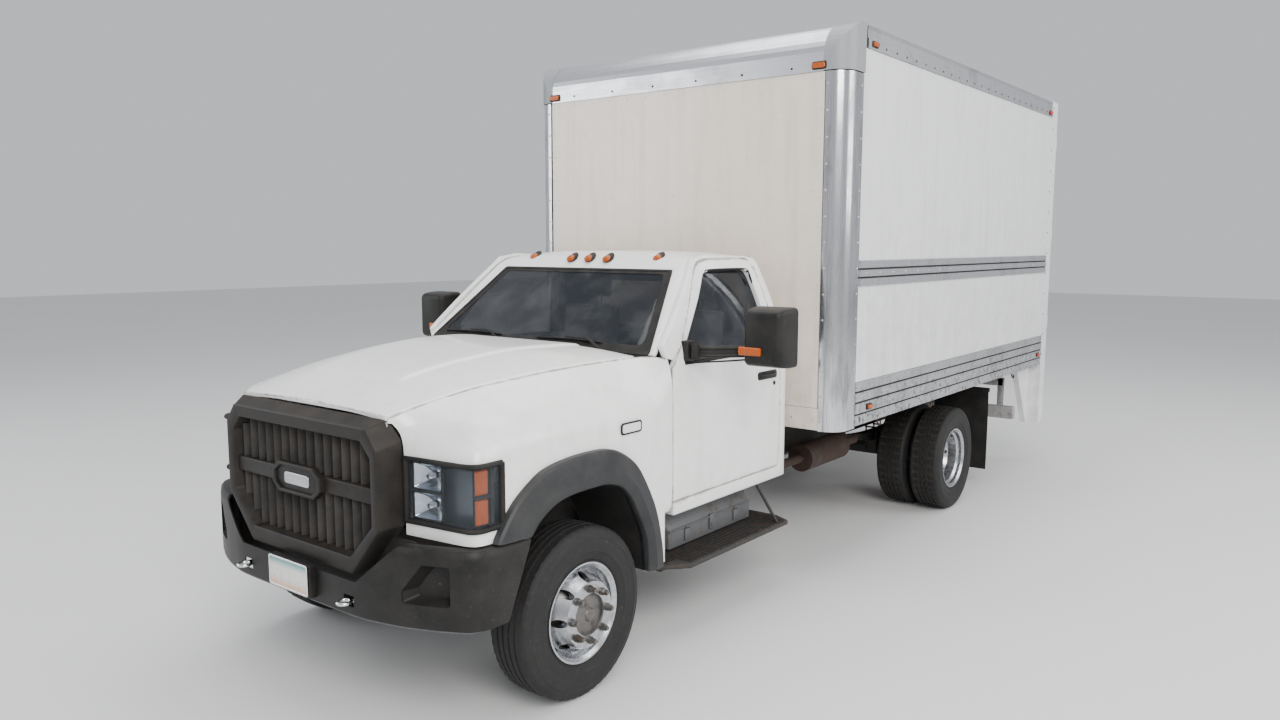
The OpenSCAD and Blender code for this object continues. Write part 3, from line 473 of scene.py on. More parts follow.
class Finish:
    """Node material on object coordinates: a base coat with layers of tint, dirt and wear over it."""

    def __init__(self, name, tint, roughness, metallic=0.0):
        self.material = bpy.data.materials.new(name)
        self.material.use_nodes = True
        self.tree = self.material.node_tree
        self.tree.nodes.clear()
        self.shader = self.node("ShaderNodeBsdfPrincipled")
        self.shader.inputs["Metallic"].default_value = metallic
        self.out = self.node("ShaderNodeOutputMaterial")
        self.tree.links.new(self.shader.outputs[0], self.out.inputs["Surface"])
        self.place = self.node("ShaderNodeTexCoord").outputs["Object"]
        self.tint = (*tint, 1.0)
        self.roughness = roughness
        self.normal = None

    def node(self, kind):
        return self.tree.nodes.new(kind)

    def feed(self, socket, value):
        """Links a socket, or sets a plain value."""
        if isinstance(value, bpy.types.NodeSocket):
            self.tree.links.new(value, socket)
        else:
            socket.default_value = value

    def stretched(self, stretch):
        mapping = self.node("ShaderNodeMapping")
        mapping.inputs["Scale"].default_value = stretch
        self.feed(mapping.inputs["Vector"], self.place)
        return mapping.outputs[0]

    def noise(self, scale, detail=4.0, stretch=None, rough=0.6):
        noise = self.node("ShaderNodeTexNoise")
        noise.inputs["Scale"].default_value = scale
        noise.inputs["Detail"].default_value = detail
        noise.inputs["Roughness"].default_value = rough
        self.feed(noise.inputs["Vector"], self.stretched(stretch) if stretch else self.place)
        return noise.outputs[0]

    def cells(self, scale, stretch=None, feature="F1", output="Distance"):
        cells = self.node("ShaderNodeTexVoronoi")
        cells.feature = feature
        cells.inputs["Scale"].default_value = scale
        self.feed(cells.inputs["Vector"], self.stretched(stretch) if stretch else self.place)
        return cells.outputs[output]

    def bands(self, scale, axis="X", distortion=0.0):
        wave = self.node("ShaderNodeTexWave")
        wave.bands_direction = axis
        wave.inputs["Scale"].default_value = scale
        wave.inputs["Distortion"].default_value = distortion
        self.feed(wave.inputs["Vector"], self.place)
        return wave.outputs["Fac"]

    def attribute(self, name):
        node = self.node("ShaderNodeAttribute")
        node.attribute_name = name
        return node.outputs["Fac"]

    def axis(self, name):
        """One of the object's coordinates."""
        node = self.node("ShaderNodeSeparateXYZ")
        self.feed(node.inputs[0], self.place)
        return node.outputs[name]

    def facing(self, name="Z"):
        """One part of the surface's direction."""
        node = self.node("ShaderNodeSeparateXYZ")
        self.feed(node.inputs[0], self.node("ShaderNodeNewGeometry").outputs["Normal"])
        return node.outputs[name]

    def sum(self, operation, a, b):
        node = self.node("ShaderNodeMath")
        node.operation = operation
        self.feed(node.inputs[0], a)
        self.feed(node.inputs[1], b)
        return node.outputs[0]

    def span(self, value, low, high, to_low=0.0, to_high=1.0):
        """Rescales a value between two limits and clamps it."""
        node = self.node("ShaderNodeMapRange")
        for name, number in zip(("From Min", "From Max", "To Min", "To Max"), (low, high, to_low, to_high)):
            node.inputs[name].default_value = number
        self.feed(node.inputs["Value"], value)
        return node.outputs[0]

    def layer(self, mask, tint, roughness=None):
        """Lays another colour, and roughness, over what is there."""
        node = self.node("ShaderNodeMix")
        node.data_type = "RGBA"
        self.feed(node.inputs[0], mask)
        self.feed(node.inputs[6], self.tint)
        self.feed(node.inputs[7], (*tint, 1.0) if len(tint) == 3 else tint)
        self.tint = node.outputs[2]
        if roughness is not None:
            mix = self.node("ShaderNodeMix")
            self.feed(mix.inputs[0], mask)
            self.feed(mix.inputs[2], self.roughness)
            self.feed(mix.inputs[3], roughness)
            self.roughness = mix.outputs[0]
        return self

    def bump(self, height, distance, strength=1.0):
        node = self.node("ShaderNodeBump")
        node.inputs["Strength"].default_value = strength
        node.inputs["Distance"].default_value = distance
        self.feed(node.inputs["Height"], height)
        if self.normal:
            self.feed(node.inputs["Normal"], self.normal)
        self.normal = node.outputs[0]
        return self

    def dust(self, tint, amount, scale=7.0, low=None, high=None):
        """Dust in clouds, heavier on faces that look up, and towards the ground if heights are given."""
        mask = self.span(self.noise(scale, 6), 0.35, 0.75, 0.0, amount)
        mask = self.sum("MULTIPLY", mask, self.span(self.facing("Z"), -0.6, 0.9, 0.45, 1.3))
        if low is not None:
            mask = self.sum("MULTIPLY", mask, self.span(self.axis("Z"), low, high, 1.6, 0.35))
        return self.layer(mask, tint, 0.85)

    def chips(self, tint, dirt):
        """Grime along the edges marked as worn, and bare rusted chips in it."""
        wear = self.attribute("wear")
        grime = self.span(self.sum("MULTIPLY", wear, self.noise(16, 5)), 0.22, 0.52, 0.0, 0.85)
        self.layer(grime, dirt, 0.7)
        bare = self.sum("MULTIPLY", wear, self.noise(46, 7, rough=0.7))
        return self.layer(self.span(bare, 0.505, 0.525), tint, 0.9)

    def done(self, **values):
        for name, value in values.items():
            self.feed(self.shader.inputs[name.replace("_", " ")], value)
        self.feed(self.shader.inputs["Base Color"], self.tint)
        self.feed(self.shader.inputs["Roughness"], self.roughness)
        if self.normal:
            self.feed(self.shader.inputs["Normal"], self.normal)
        return self.material


def see_through(name, tint, alpha, roughness=0.04):
    """Clear sheet: mostly open, with a polished surface and a little dust."""
    coat = Finish(name, tint, roughness)
    haze = coat.span(coat.noise(5, 5), 0.45, 0.85, 0.0, 0.22)
    coat.layer(haze, (0.30, 0.31, 0.31), 0.35)
    cover = coat.sum("ADD", coat.sum("MULTIPLY", haze, 0.30), alpha)
    return coat.done(Alpha=cover, IOR=1.5)


def lamp_plastic(name, tint, ribs=True):
    """Coloured moulded lens with fine optics."""
    coat = Finish(name, tint, 0.22)
    coat.layer(coat.span(coat.noise(30, 3), 0.4, 0.7, 0.0, 0.35), [c * 0.55 for c in tint])
    if ribs:
        coat.bump(coat.cells(95), 0.004, 0.5)
    return coat.done(Coat_Weight=0.2, Coat_Roughness=0.08, Specular_IOR_Level=0.3)


def enamel(name, tint, dirt, rust, low=0.7, high=1.5, dirt_amount=0.16):
    """Gloss paint with faint runs of dirt, dust near the ground, and chips along worn edges."""
    coat = Finish(name, tint, 0.22)
    coat.layer(coat.span(coat.noise(1.6, 3), 0.35, 0.7, 0.0, 0.22), [c * 0.90 for c in tint], 0.34)
    runs = coat.span(coat.noise(5.0, 5, (3.0, 3.0, 0.22)), 0.50, 0.82, 0.0, dirt_amount)
    coat.layer(runs, dirt, 0.5)
    coat.dust(dirt, dirt_amount, 9, low, high)
    specks = coat.span(coat.noise(150, 2), 0.70, 0.74, 0.0, 0.35)
    coat.layer(specks, dirt, 0.6)
    coat.chips(rust, [c * 0.6 for c in dirt])
    coat.bump(coat.noise(3.0, 2), 0.004, 0.12)
    return coat.done(Coat_Weight=0.35, Coat_Roughness=0.06)


def bright(name, tint, roughness, streak=0.5, stretch=(22.0, 22.0, 0.5)):
    """Polished sheet with drawn streaks and smudges."""
    coat = Finish(name, tint, roughness, 1.0)
    lines = coat.span(coat.noise(9, 5, stretch), 0.3, 0.75, 0.0, streak)
    coat.layer(lines, [c * 0.55 for c in tint], roughness + 0.22)
    coat.layer(
        coat.span(coat.noise(3.5, 6), 0.48, 0.75, 0.0, streak), [c * 0.45 for c in tint], roughness + 0.3
    )
    coat.bump(coat.noise(2.2, 2), 0.012, 0.25)
    return coat.done()


def black_plastic(name, tint, dust, amount, roughness=0.5):
    """Grained moulding, dusty where it looks up."""
    coat = Finish(name, tint, roughness)
    coat.layer(coat.span(coat.noise(4, 5), 0.35, 0.7, 0.0, 0.5), [c * 1.8 for c in tint], roughness + 0.12)
    coat.dust(dust, amount, 8)
    coat.layer(coat.span(coat.noise(120, 2), 0.68, 0.73, 0.0, 0.35), dust, 0.8)
    coat.bump(coat.noise(420, 2), 0.0006, 0.5)
    return coat.done(Specular_IOR_Level=0.22)


def rusty(name, tint, rust, share, roughness=0.75, metallic=0.0):
    """Painted or bare steel with patches of rust."""
    coat = Finish(name, tint, roughness, metallic)
    coat.layer(
        coat.span(coat.noise(9, 8, rough=0.7), 0.62 - share * 0.3, 0.74 - share * 0.3, 0.0, 0.9), rust, 0.9
    )
    coat.layer(coat.span(coat.noise(40, 6), 0.5, 0.75, 0.0, 0.5), [c * 1.9 for c in rust], 0.92)
    coat.bump(coat.noise(90, 6), 0.002, 0.4)
    return coat.done()


FINISHES = {}


def finishes():
    """Builds every material once and keeps it by name."""
    if FINISHES:
        return FINISHES
    paint, *_ = sizes()
    cab, dirt, rust = tuple(paint.cab), tuple(paint.dust), tuple(paint.rust)
    black = tuple(paint.plastic)
    amber = tuple(paint.marker)
    make_one = {
        "cab_paint": lambda: enamel("cab_paint", cab, dirt, rust),
        "side_paint": lambda: enamel("side_paint", tuple(paint.side), dirt, rust, 1.2, 2.6, 0.22),
        "front_paint": lambda: enamel("front_paint", tuple(paint.front), dirt, rust, 1.1, 2.4, 0.26),
        "polished": lambda: capped("polished", (0.70, 0.71, 0.73)),
        "nose": lambda: bright("nose", (0.74, 0.75, 0.78), 0.24, 0.45, (0.4, 14.0, 14.0)),
        "galvanised": lambda: railing("galvanised", (0.62, 0.64, 0.66), dirt),
        "bare_metal": lambda: bright("bare_metal", (0.62, 0.64, 0.66), 0.36, 0.6, (1.2, 0.5, 14.0)),
        "rim": lambda: bright("rim", (0.58, 0.59, 0.61), 0.17, 0.75, (4.0, 4.0, 4.0)),
        "hub": lambda: rusty("hub", (0.17, 0.165, 0.16), (0.09, 0.065, 0.045), 0.35, 0.42, 0.9),
        "chrome": lambda: bright("chrome", (0.86, 0.87, 0.88), 0.07, 0.35, (6.0, 6.0, 6.0)),
        "zinc": lambda: bright("zinc", (0.60, 0.58, 0.50), 0.38, 0.6),
        "mirror": lambda: bright("mirror", (0.90, 0.92, 0.93), 0.02, 0.10),
        "reflector": lambda: bright("reflector", (0.72, 0.79, 0.88), 0.12, 0.5, (9.0, 9.0, 9.0)),
        "bowl": lambda: bright("bowl", (0.16, 0.185, 0.21), 0.32, 0.5, (9.0, 9.0, 9.0)),
        "cap_grey": lambda: rusty("cap_grey", (0.36, 0.375, 0.38), dirt, 0.12, 0.45),
        "trim": lambda: black_plastic("trim", black, dirt, 0.09, 0.42),
        "flare": lambda: black_plastic("flare", (0.024, 0.0255, 0.027), dirt, 0.12, 0.38),
        "grille": lambda: black_plastic(
            "grille", (0.013, 0.0118, 0.0108), (0.10, 0.075, 0.056), 0.20, 0.42
        ),
        "vane": lambda: black_plastic("vane", (0.030, 0.029, 0.028), (0.13, 0.10, 0.075), 0.30, 0.5),
        "mesh": lambda: perforated("mesh", black, dirt),
        "seal": lambda: black_plastic("seal", (0.012, 0.012, 0.012), dirt, 0.12, 0.7),
        "chassis": lambda: rusty("chassis", (0.026, 0.025, 0.024), (0.060, 0.036, 0.024), 0.20),
        "rust": lambda: rusty("rust", (0.050, 0.038, 0.031), (0.042, 0.023, 0.016), 0.8, 0.85),
        "cast": lambda: rusty("cast", (0.20, 0.20, 0.20), dirt, 0.5, 0.6, 0.5),
        "tool_grey": lambda: rusty("tool_grey", (0.085, 0.09, 0.095), [c * 0.5 for c in dirt], 0.30, 0.5),
        "underrun": lambda: rusty("underrun", (0.42, 0.43, 0.43), rust, 0.15, 0.5, 0.6),
        "tyre": lambda: rubber("tyre", dirt),
        "wood": wood,
        "fabric": lambda: cloth("fabric", (0.30, 0.30, 0.31)),
        "cabin": lambda: black_plastic("cabin", (0.055, 0.06, 0.07), dirt, 0.15, 0.6),
        "glass": lambda: see_through("glass", (0.012, 0.016, 0.022), 0.50),
        "lens": lambda: see_through("lens", (0.07, 0.085, 0.10), 0.14, 0.05),
        "amber": lambda: lamp_plastic("amber", amber),
        "red": lambda: lamp_plastic("red", (0.55, 0.015, 0.012)),
        "plate": number_plate,
        "floor": studio_floor,
    }
    FINISHES.update({name: build() for name, build in make_one.items()})
    return FINISHES


def capped(name, tint):
    """Corner posts of polished sheet with a painted reflection of a dark room, in dark vertical bands and
    smudges; their cast top caps are painted grey.
    """
    coat = Finish(name, tint, 0.14, 1.0)
    # Painted reflection: streaked dark vertical bands, then darker smudges, stand in for a dark room
    # mirrored in the posts
    coat.layer(
        coat.span(coat.noise(9, 6, (26.0, 26.0, 0.45)), 0.42, 0.72, 0.0, 0.75), [c * 0.42 for c in tint],
        0.34
    )
    coat.layer(
        coat.span(coat.noise(2.6, 7, (3.0, 3.0, 0.8)), 0.50, 0.72, 0.0, 0.85), [c * 0.26 for c in tint],
        0.42
    )
    cap = coat.span(coat.axis("Z"), 3.1935, 3.1955)
    coat.layer(cap, (0.26, 0.275, 0.285), 0.45)
    coat.bump(coat.noise(2.2, 2), 0.012, 0.25)
    return coat.done(Metallic=coat.span(cap, 0.0, 1.0, 1.0, 0.0))


RAIL_GROOVES = (1.070, 1.147, 1.216, 1.947, 2.001)


def railing(name, tint, dirt):
    """Drawn rails, dark in their grooves and grimy below."""
    coat = Finish(name, tint, 0.36, 1.0)
    coat.layer(
        coat.span(coat.noise(9, 5, (1.2, 0.5, 14.0)), 0.3, 0.75, 0.0, 0.6), [c * 0.55 for c in tint], 0.55
    )
    coat.layer(coat.span(coat.noise(3.0, 7), 0.50, 0.72, 0.0, 0.6), [c * 0.35 for c in tint], 0.6)
    height = coat.axis("Z")
    for groove in RAIL_GROOVES:
        off = coat.sum("ABSOLUTE", coat.sum("SUBTRACT", height, groove), 0.0)
        coat.layer(coat.span(off, 0.008, 0.004, 0.0, 0.9), [c * 0.12 for c in dirt], 0.8)
    stain = coat.sum(
        "MULTIPLY", coat.span(coat.noise(24, 6), 0.52, 0.66), coat.span(height, 1.05, 1.30, 0.8, 0.2)
    )
    coat.layer(stain, [c * 0.5 for c in dirt], 0.8)
    return coat.done()


def perforated(name, tint, dirt):
    """Sheet punched with small holes, seen as dark pits."""
    coat = Finish(name, [c * 3.0 for c in tint], 0.6)
    pits = coat.cells(120, (1.0, 0.0, 1.0))
    coat.layer(coat.span(pits, 0.34, 0.28), (0.004, 0.004, 0.004))
    coat.dust(dirt, 0.5)
    coat.bump(coat.span(pits, 0.25, 0.45), 0.003, 0.6)
    return coat.done()


def rubber(name, dirt):
    """Tyre rubber, greyed and dusty in the grooves."""
    coat = Finish(name, (0.012, 0.012, 0.0125), 0.62)
    coat.layer(coat.span(coat.noise(6, 6), 0.35, 0.75, 0.0, 0.5), (0.030, 0.0285, 0.0265), 0.8)
    coat.layer(coat.attribute("groove"), [c * 0.30 for c in dirt], 0.95)
    coat.layer(coat.span(coat.noise(70, 4), 0.6, 0.75, 0.0, 0.25), dirt, 0.95)
    coat.bump(coat.noise(160, 4), 0.001, 0.4)
    return coat.done(Specular_IOR_Level=0.3)


def wood():
    """Planked load floor."""
    coat = Finish("wood", (0.26, 0.155, 0.08), 0.65)
    coat.layer(coat.span(coat.noise(6, 8, (9.0, 0.5, 9.0)), 0.35, 0.7), (0.15, 0.085, 0.045), 0.75)
    coat.layer(coat.span(coat.bands(2.2, "X"), 0.0, 0.03, 1.0, 0.0), (0.03, 0.02, 0.012), 0.9)
    coat.bump(coat.noise(30, 5, (9.0, 0.5, 9.0)), 0.002, 0.4)
    return coat.done()


def cloth(name, tint):
    """Woven seat cover."""
    coat = Finish(name, tint, 0.92)
    weave = coat.sum("MULTIPLY", coat.bands(170, "X"), coat.bands(170, "Z"))
    coat.layer(coat.span(weave, 0.0, 0.6, 0.5, 0.0), [c * 0.5 for c in tint])
    coat.layer(coat.span(coat.noise(7, 5), 0.4, 0.7, 0.0, 0.5), [c * 1.5 for c in tint], 0.95)
    coat.bump(weave, 0.0012, 0.5)
    return coat.done(Sheen_Weight=0.3)


def number_plate():
    """Blank plate: teal at the top, peach at the bottom, pale between."""
    coat = Finish("plate", (0.74, 0.74, 0.71), 0.35)
    low, high = PLATE_Z
    coat.layer(coat.span(coat.axis("Z"), low + 0.05, low + 0.012, 0.0, 0.85), (0.72, 0.42, 0.27))
    coat.layer(coat.span(coat.axis("Z"), high - 0.045, high - 0.012, 0.0, 0.9), (0.05, 0.30, 0.30))
    coat.layer(coat.span(coat.noise(40, 6), 0.5, 0.75, 0.0, 0.4), (0.25, 0.22, 0.18), 0.7)
    coat.bump(coat.noise(12, 2), 0.002, 0.2)
    return coat.done()


def studio_floor():
    coat = Finish("studio_floor", (0.72, 0.72, 0.715), 0.7)
    coat.layer(coat.span(coat.noise(0.35, 3), 0.35, 0.7, 0.0, 0.25), (0.66, 0.66, 0.655), 0.75)
    return coat.done()


# ---- operators ------------------------------------------------------------------------------------


class TRUCK_OT_stage(bpy.types.Operator):
    """Floor, lights and the camera"""

    bl_idname = "truck.stage"
    bl_label = "Stage"

    def execute(self, context):
        *_, setup = sizes()
        scene = context.scene
        floor = make("floor", [(-40, -40, 0), (40, -40, 0), (40, 40, 0), (-40, 40, 0)], [(0, 1, 2, 3)])
        floor.data.materials.append(finishes()["floor"])
        world = bpy.data.worlds.new("studio")
        world.use_nodes = True
        back = world.node_tree.nodes["Background"]
        back.inputs["Color"].default_value = (0.93, 0.95, 1.0, 1.0)
        back.inputs["Strength"].default_value = setup.sky
        scene.world = world
        lamps = []
        places = {
            "key": ((8.5, -8.0, 7.5), (0.0, -1.5, 1.2), 6.0, 1.0, (1.0, 0.985, 0.96)),
            "fill": ((-9.0, -9.0, 5.0), (0.0, -2.0, 1.2), 6.0, 0.35, (0.94, 0.97, 1.0)),
            "side": ((11.0, 4.0, 6.0), (1.0, 1.0, 1.6), 7.0, 0.55, (1.0, 1.0, 1.0)),
            "top": ((0.0, 0.0, 10.0), (0.0, 0.0, 0.0), 9.0, 0.6, (1.0, 1.0, 1.0)),
        }
        for name, (place, target, size, share, tint) in places.items():
            light = bpy.data.lights.new(name, "AREA")
            light.energy = setup.key * share
            light.size = size
            light.color = tint
            lamp = bpy.data.objects.new(name, light)
            lamp.location = place
            lamp.rotation_euler = (Vector(target) - Vector(place)).to_track_quat("-Z", "Y").to_euler()
            scene.collection.objects.link(lamp)
            lamps.append(lamp)
        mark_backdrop(floor, *lamps)
        eye = bpy.data.cameras.new("eye")
        eye.lens = setup.lens
        eye.clip_end = 200
        camera = bpy.data.objects.new("camera", eye)
        yaw, pitch, roll = (math.radians(a) for a in (38.01, -6.878, 0.093))
        camera.matrix_world = (
            Matrix.Translation((3.908, AXLE.y - 3.275, 2.152))
            @ Matrix.Rotation(yaw, 4, "Z")
            @ Matrix.Rotation(math.pi / 2 + pitch, 4, "X")
            @ Matrix.Rotation(roll, 4, "Z")
        )
        scene.collection.objects.link(camera)
        scene.camera = camera
        return {"FINISHED"}


# Hood seam: half width, station, height at the seam and at the crown
SEAM = [
    (0.565, -0.766, 1.418, 1.436),
    (0.628, -0.530, 1.472, 1.520),
    (0.676, -0.275, 1.515, 1.576),
    (0.750, 0.108, 1.552, 1.617),
    (0.822, 0.464, 1.571, 1.616),
    (0.846, 0.610, 1.575, 1.606),
]


def seam_at(station):
    """Half width, seam height and crown height of the hood at a station."""
    pts = spline([(s, x, z) for x, s, z, _ in SEAM], 80)
    crowns = spline([(s, c, 0) for _, s, _, c in SEAM], 80)
    station = min(max(station, pts[0][0]), pts[-1][0])
    for a, b, c, d in zip(pts, pts[1:], crowns, crowns[1:]):
        if station <= b[0] + 1e-9:
            t = (station - a[0]) / max(b[0] - a[0], 1e-9)
            return a[1] + (b[1] - a[1]) * t, a[2] + (b[2] - a[2]) * t, c[1] + (d[1] - c[1]) * t
    return SEAM[-1][0], SEAM[-1][2], SEAM[-1][3]


class TRUCK_OT_hood(bpy.types.Operator):
    """Hood with its crown, raised middle and rolled edge"""

    bl_idname = "truck.hood"
    bl_label = "Hood"

    def execute(self, context):
        _, panels, *_ = sizes()
        inset = panels.seam / 2
        steps, cells = 84, 120
        rings = []
        front, back = SEAM[0][1] + inset, SEAM[-1][1] - inset
        # The first and last rows turn down into the flange along the front and the rear edge
        rows = [(front + 0.001, 0.024), (front - 0.001, 0.010), (front + 0.001, 0.002)]
        rows += [(front + 0.008 + (back - front - 0.016) * i / steps, 0.0) for i in range(steps + 1)]
        rows += [(back - 0.002, 0.002), (back, 0.010), (back, 0.022)]
        for station, drop in rows:
            half, low, crown = seam_at(station)
            half -= inset
            ring = [(-half, low - 0.024), (-half - 0.0005, low - 0.012), (-half + 0.002, low - 0.003)]
            for k in range(1, cells):
                t = 2 * k / cells - 1
                reach = max(0.0, (abs(t) - 0.42) / 0.58)
                z = low + (crown - low) * math.cos(reach * math.pi / 2)
                side = ease((0.355 + 0.10 * (station + 0.5) - abs(t) * half) / 0.026)
                z += 0.010 * side * ease((station + 0.52) / 0.03)
                ring.append((half * t, z))
            ring += [(-x, z) for x, z in reversed(ring[:3])]
            rings.append([at(x, station, z - drop) for x, z in ring])
        hood = thickened(loft("hood_panel", rings, angle=50), panels.skin, inside=at(0, 0, 1.0), angle=50)
        sides = [[at(m * seam_at(s)[0], s, seam_at(s)[1]) for s in [p[1] for p in SEAM]] for m in (-1, 1)]
        nose = [at(-0.565, -0.766, 1.418), at(0, -0.766, 1.436), at(0.565, -0.766, 1.418)]
        mark_wear(hood, [*sides, nose], panels.wear)
        fitted(hood, "hood", "body_white", finishes()["cab_paint"], "hood")
        # Inner frame that stiffens the panel: two side ribs and two cross ribs, at the front and the rear
        ribs = []
        for m in (-1, 1):
            path = []
            for s in (-0.70, -0.45, -0.20, 0.10, 0.35, 0.56):
                half, low, crown = seam_at(s)
                path.append(at(m * (half - 0.075), s, low - 0.014))
            ribs.append(tube("rib", path, 0.012, 10))
        for s in (-0.69, 0.55):
            half, low, crown = seam_at(s)
            ribs.append(
                tube("rib", [at(m * (half - 0.075), s, low - 0.014) for m in (-1, 0, 1)], 0.012, 10)
            )
        fitted(joined("hood_inner_frame", ribs), "hood", "body_white", finishes()["cab_paint"])
        return {"FINISHED"}


# Fender sections: foot of the section in plan, height where it starts to lean, shoulder line, and the seam
FENDER = [
    ((0.603, -0.702), 1.272, (0.598, -0.715, 1.345), (0.571, -0.762, 1.412)),
    ((0.700, -0.690), 1.268, (0.685, -0.650, 1.360), (0.601, -0.650, 1.442)),
    ((0.800, -0.677), 1.264, (0.775, -0.605, 1.374), (0.617, -0.580, 1.459)),
    ((0.880, -0.667), 1.261, (0.850, -0.570, 1.384), (0.632, -0.520, 1.472)),
    ((0.940, -0.655), 1.261, (0.900, -0.540, 1.390), (0.646, -0.455, 1.485)),
    ((0.972, -0.635), 1.263, (0.917, -0.500, 1.392), (0.660, -0.390, 1.496)),
    ((0.988, -0.600), 1.268, (0.922, -0.450, 1.393), (0.672, -0.325, 1.506)),
    ((0.994, -0.520), 1.280, (0.923, -0.380, 1.393), (0.686, -0.250, 1.514)),
    ((0.996, -0.400), 1.292, (0.922, -0.290, 1.392), (0.704, -0.155, 1.523)),
    ((0.997, -0.260), 1.300, (0.921, -0.180, 1.391), (0.722, -0.070, 1.532)),
    ((0.997, 0.000), 1.305, (0.920, 0.030, 1.389), (0.748, 0.060, 1.545)),
    ((0.997, 0.300), 1.304, (0.920, 0.310, 1.386), (0.793, 0.320, 1.561)),
    ((0.996, 0.450), 1.303, (0.921, 0.455, 1.384), (0.820, 0.460, 1.567)),
    ((0.991, 0.600), 1.314, (0.933, 0.604, 1.404), (0.853, 0.610, 1.571)),
    ((0.982, 0.700), 1.336, (0.953, 0.702, 1.442), (0.892, 0.702, 1.566)),
    ((0.975, 0.764), 1.350, (0.962, 0.764, 1.464), (0.934, 0.764, 1.554)),
]
FLARE_OUT = [
    (-0.560, 0.890), (-0.540, 0.930), (-0.450, 1.041), (-0.330, 1.125), (-0.242, 1.162), (-0.080, 1.184),
    (0.099, 1.186), (0.200, 1.174), (0.272, 1.149), (0.360, 1.094), (0.430, 1.020), (0.541, 0.826),
    (0.600, 0.618), (0.615, 0.489),
]
FLARE_IN = [
    (-0.360, 0.890), (-0.352, 0.877), (-0.300, 0.930), (-0.223, 0.976), (-0.150, 1.000), (-0.060, 1.010),
    (0.098, 1.012), (0.180, 1.004), (0.271, 0.975), (0.330, 0.925), (0.376, 0.862), (0.458, 0.705),
    (0.478, 0.620), (0.487, 0.523), (0.487, 0.489),
]
SILL_Z = 0.745


def rounded_line(points, radius, steps=5):
    """Open polyline in space with its inner corners rounded."""
    out = [Vector(points[0])]
    for a, p, b in zip(points, points[1:], points[2:]):
        a, p, b = Vector(a), Vector(p), Vector(b)
        reach = min(radius, (a - p).length * 0.45, (b - p).length * 0.45)
        start, end = p + (a - p).normalized() * reach, p + (b - p).normalized() * reach
        out += [start.lerp(p, t).lerp(p.lerp(end, t), t) for t in [k / steps for k in range(steps + 1)]]
    return [*out, Vector(points[-1])]


def prism(name, outline, x0, x1):
    """Outline in (station, height), extruded across the truck."""
    n = len(outline)
    verts = [at(x, s, z) for x in (x0, x1) for s, z in outline]
    faces = [(i, (i + 1) % n, n + (i + 1) % n, n + i) for i in range(n)]
    return make(name, verts, [*faces, list(range(n)), list(range(n, 2 * n))])


class TRUCK_OT_fenders(bpy.types.Operator):
    """Front fenders with their shoulder lines, lamp openings and wheel arches"""

    bl_idname = "truck.fenders"
    bl_label = "Fenders"

    def execute(self, context):
        _, panels, *_ = sizes()
        flat = spline([(*foot, lean) for foot, lean, _, _ in FENDER], 90)
        shoulder = spline([p for *_, p, _ in FENDER], 90)
        top = spline([p for *_, p in FENDER], 90)
        rings = []
        for foot, mid, high in zip(flat, shoulder, top):
            foot_z = 0.47
            inward = Vector((mid.x - foot.x, mid.y - foot.y, 0))
            lean = Vector((foot.x, foot.y, foot.z)) + inward * 0.16 + Vector((0, 0, 0.012))
            line = [(foot.x, foot.y, z) for z in (foot_z, 0.60, 0.75, 0.86, 0.95, 1.04, 1.13)]
            upper = rounded_line([(foot.x, foot.y, 1.16), lean, mid, high], 0.045, 6)
            near = upper[-1] + (upper[-2] - upper[-1]).normalized() * 0.010
            down = upper[-1] + Vector((-0.001, 0, -0.020))
            rings.append([at(*p) for p in [*line, *upper[:-1], near, upper[-1], down]])
        left = thickened(loft("fender_left", rings, angle=40), 0.006, inside=at(0.4, 0, 0.9), angle=40)
        # The sheet stops a little short of the flare's inner edge, which hides it
        arch = [(0.06 + (s - 0.06) * 1.02, z + 0.012) for s, z in FLARE_IN[1:-1]]
        arch += [(0.4975, 0.30), (-0.360, 0.30)]
        cutters = [
            prism("arch", arch, 0.3, 1.2),
            block("foot", at(0.3, -0.9, 0.3), at(1.2, 0.487, 0.892)),
            block("rear_foot", at(0.3, 0.684, 0.3), at(1.2, 0.95, SILL_Z)),
            block("low", at(0.3, 0.4, 0.3), at(1.2, 0.95, 0.480)),
            block("lamp", at(0.596, -0.80, 0.949), at(1.2, -0.495, 1.241), 0.028, 4),
        ]
        for cutter in cutters:
            cut(left, cutter)
        right = mirrored(left, "fender_right")
        marks = []
        for m in (-1, 1):
            marks.append([at(m * p.x, p.y, p.z) for p in top[::4]])
            marks.append(
                [
                    at(m * 0.975, 0.764, z) for z in (1.5, 1.3, 0.75)
                ] + [at(m * 0.984, 0.684, z) for z in (0.745, 0.48)]
            )
            marks.append(
                [
                    at(m * x, s, 0.90) for x,
                    s in ((0.61, -0.700), (0.80, -0.677), (0.95, -0.65), (0.99, -0.55))
                ]
            )
        badges, rims = [], []
        for m in (-1, 1):

            def flank(u, v, d):
                return at(m * (0.9995 - d), u, v)

            badges.append(
                plate("badge", rectangle(0.306, 0.460, 1.225, 1.277, 0.016), [], 0.006, flank, 0.002, 0.5)
            )
            outline, hole = rectangle(0.302, 0.464, 1.221, 1.281, 0.018), rectangle(
                0.311, 0.455, 1.230, 1.272, 0.013
            )
            rims.append(
                plate(
                    "badge_rim", outline, [hole], 0.007, lambda u, v, d: flank(u, v, d - 0.001), 0.002, 0.5
                )
            )
        fitted(joined("fender_badges", badges), "truck", "body_white", finishes()["side_paint"])
        fitted(joined("fender_badge_rims", rims), "truck", "trim_black", finishes()["seal"])
        for piece, nodes in ((left, ("fenders",)), (right, ())):
            mark_wear(piece, marks, panels.wear)
            fitted(piece, "truck", "body_white", finishes()["cab_paint"], *nodes)
        return {"FINISHED"}


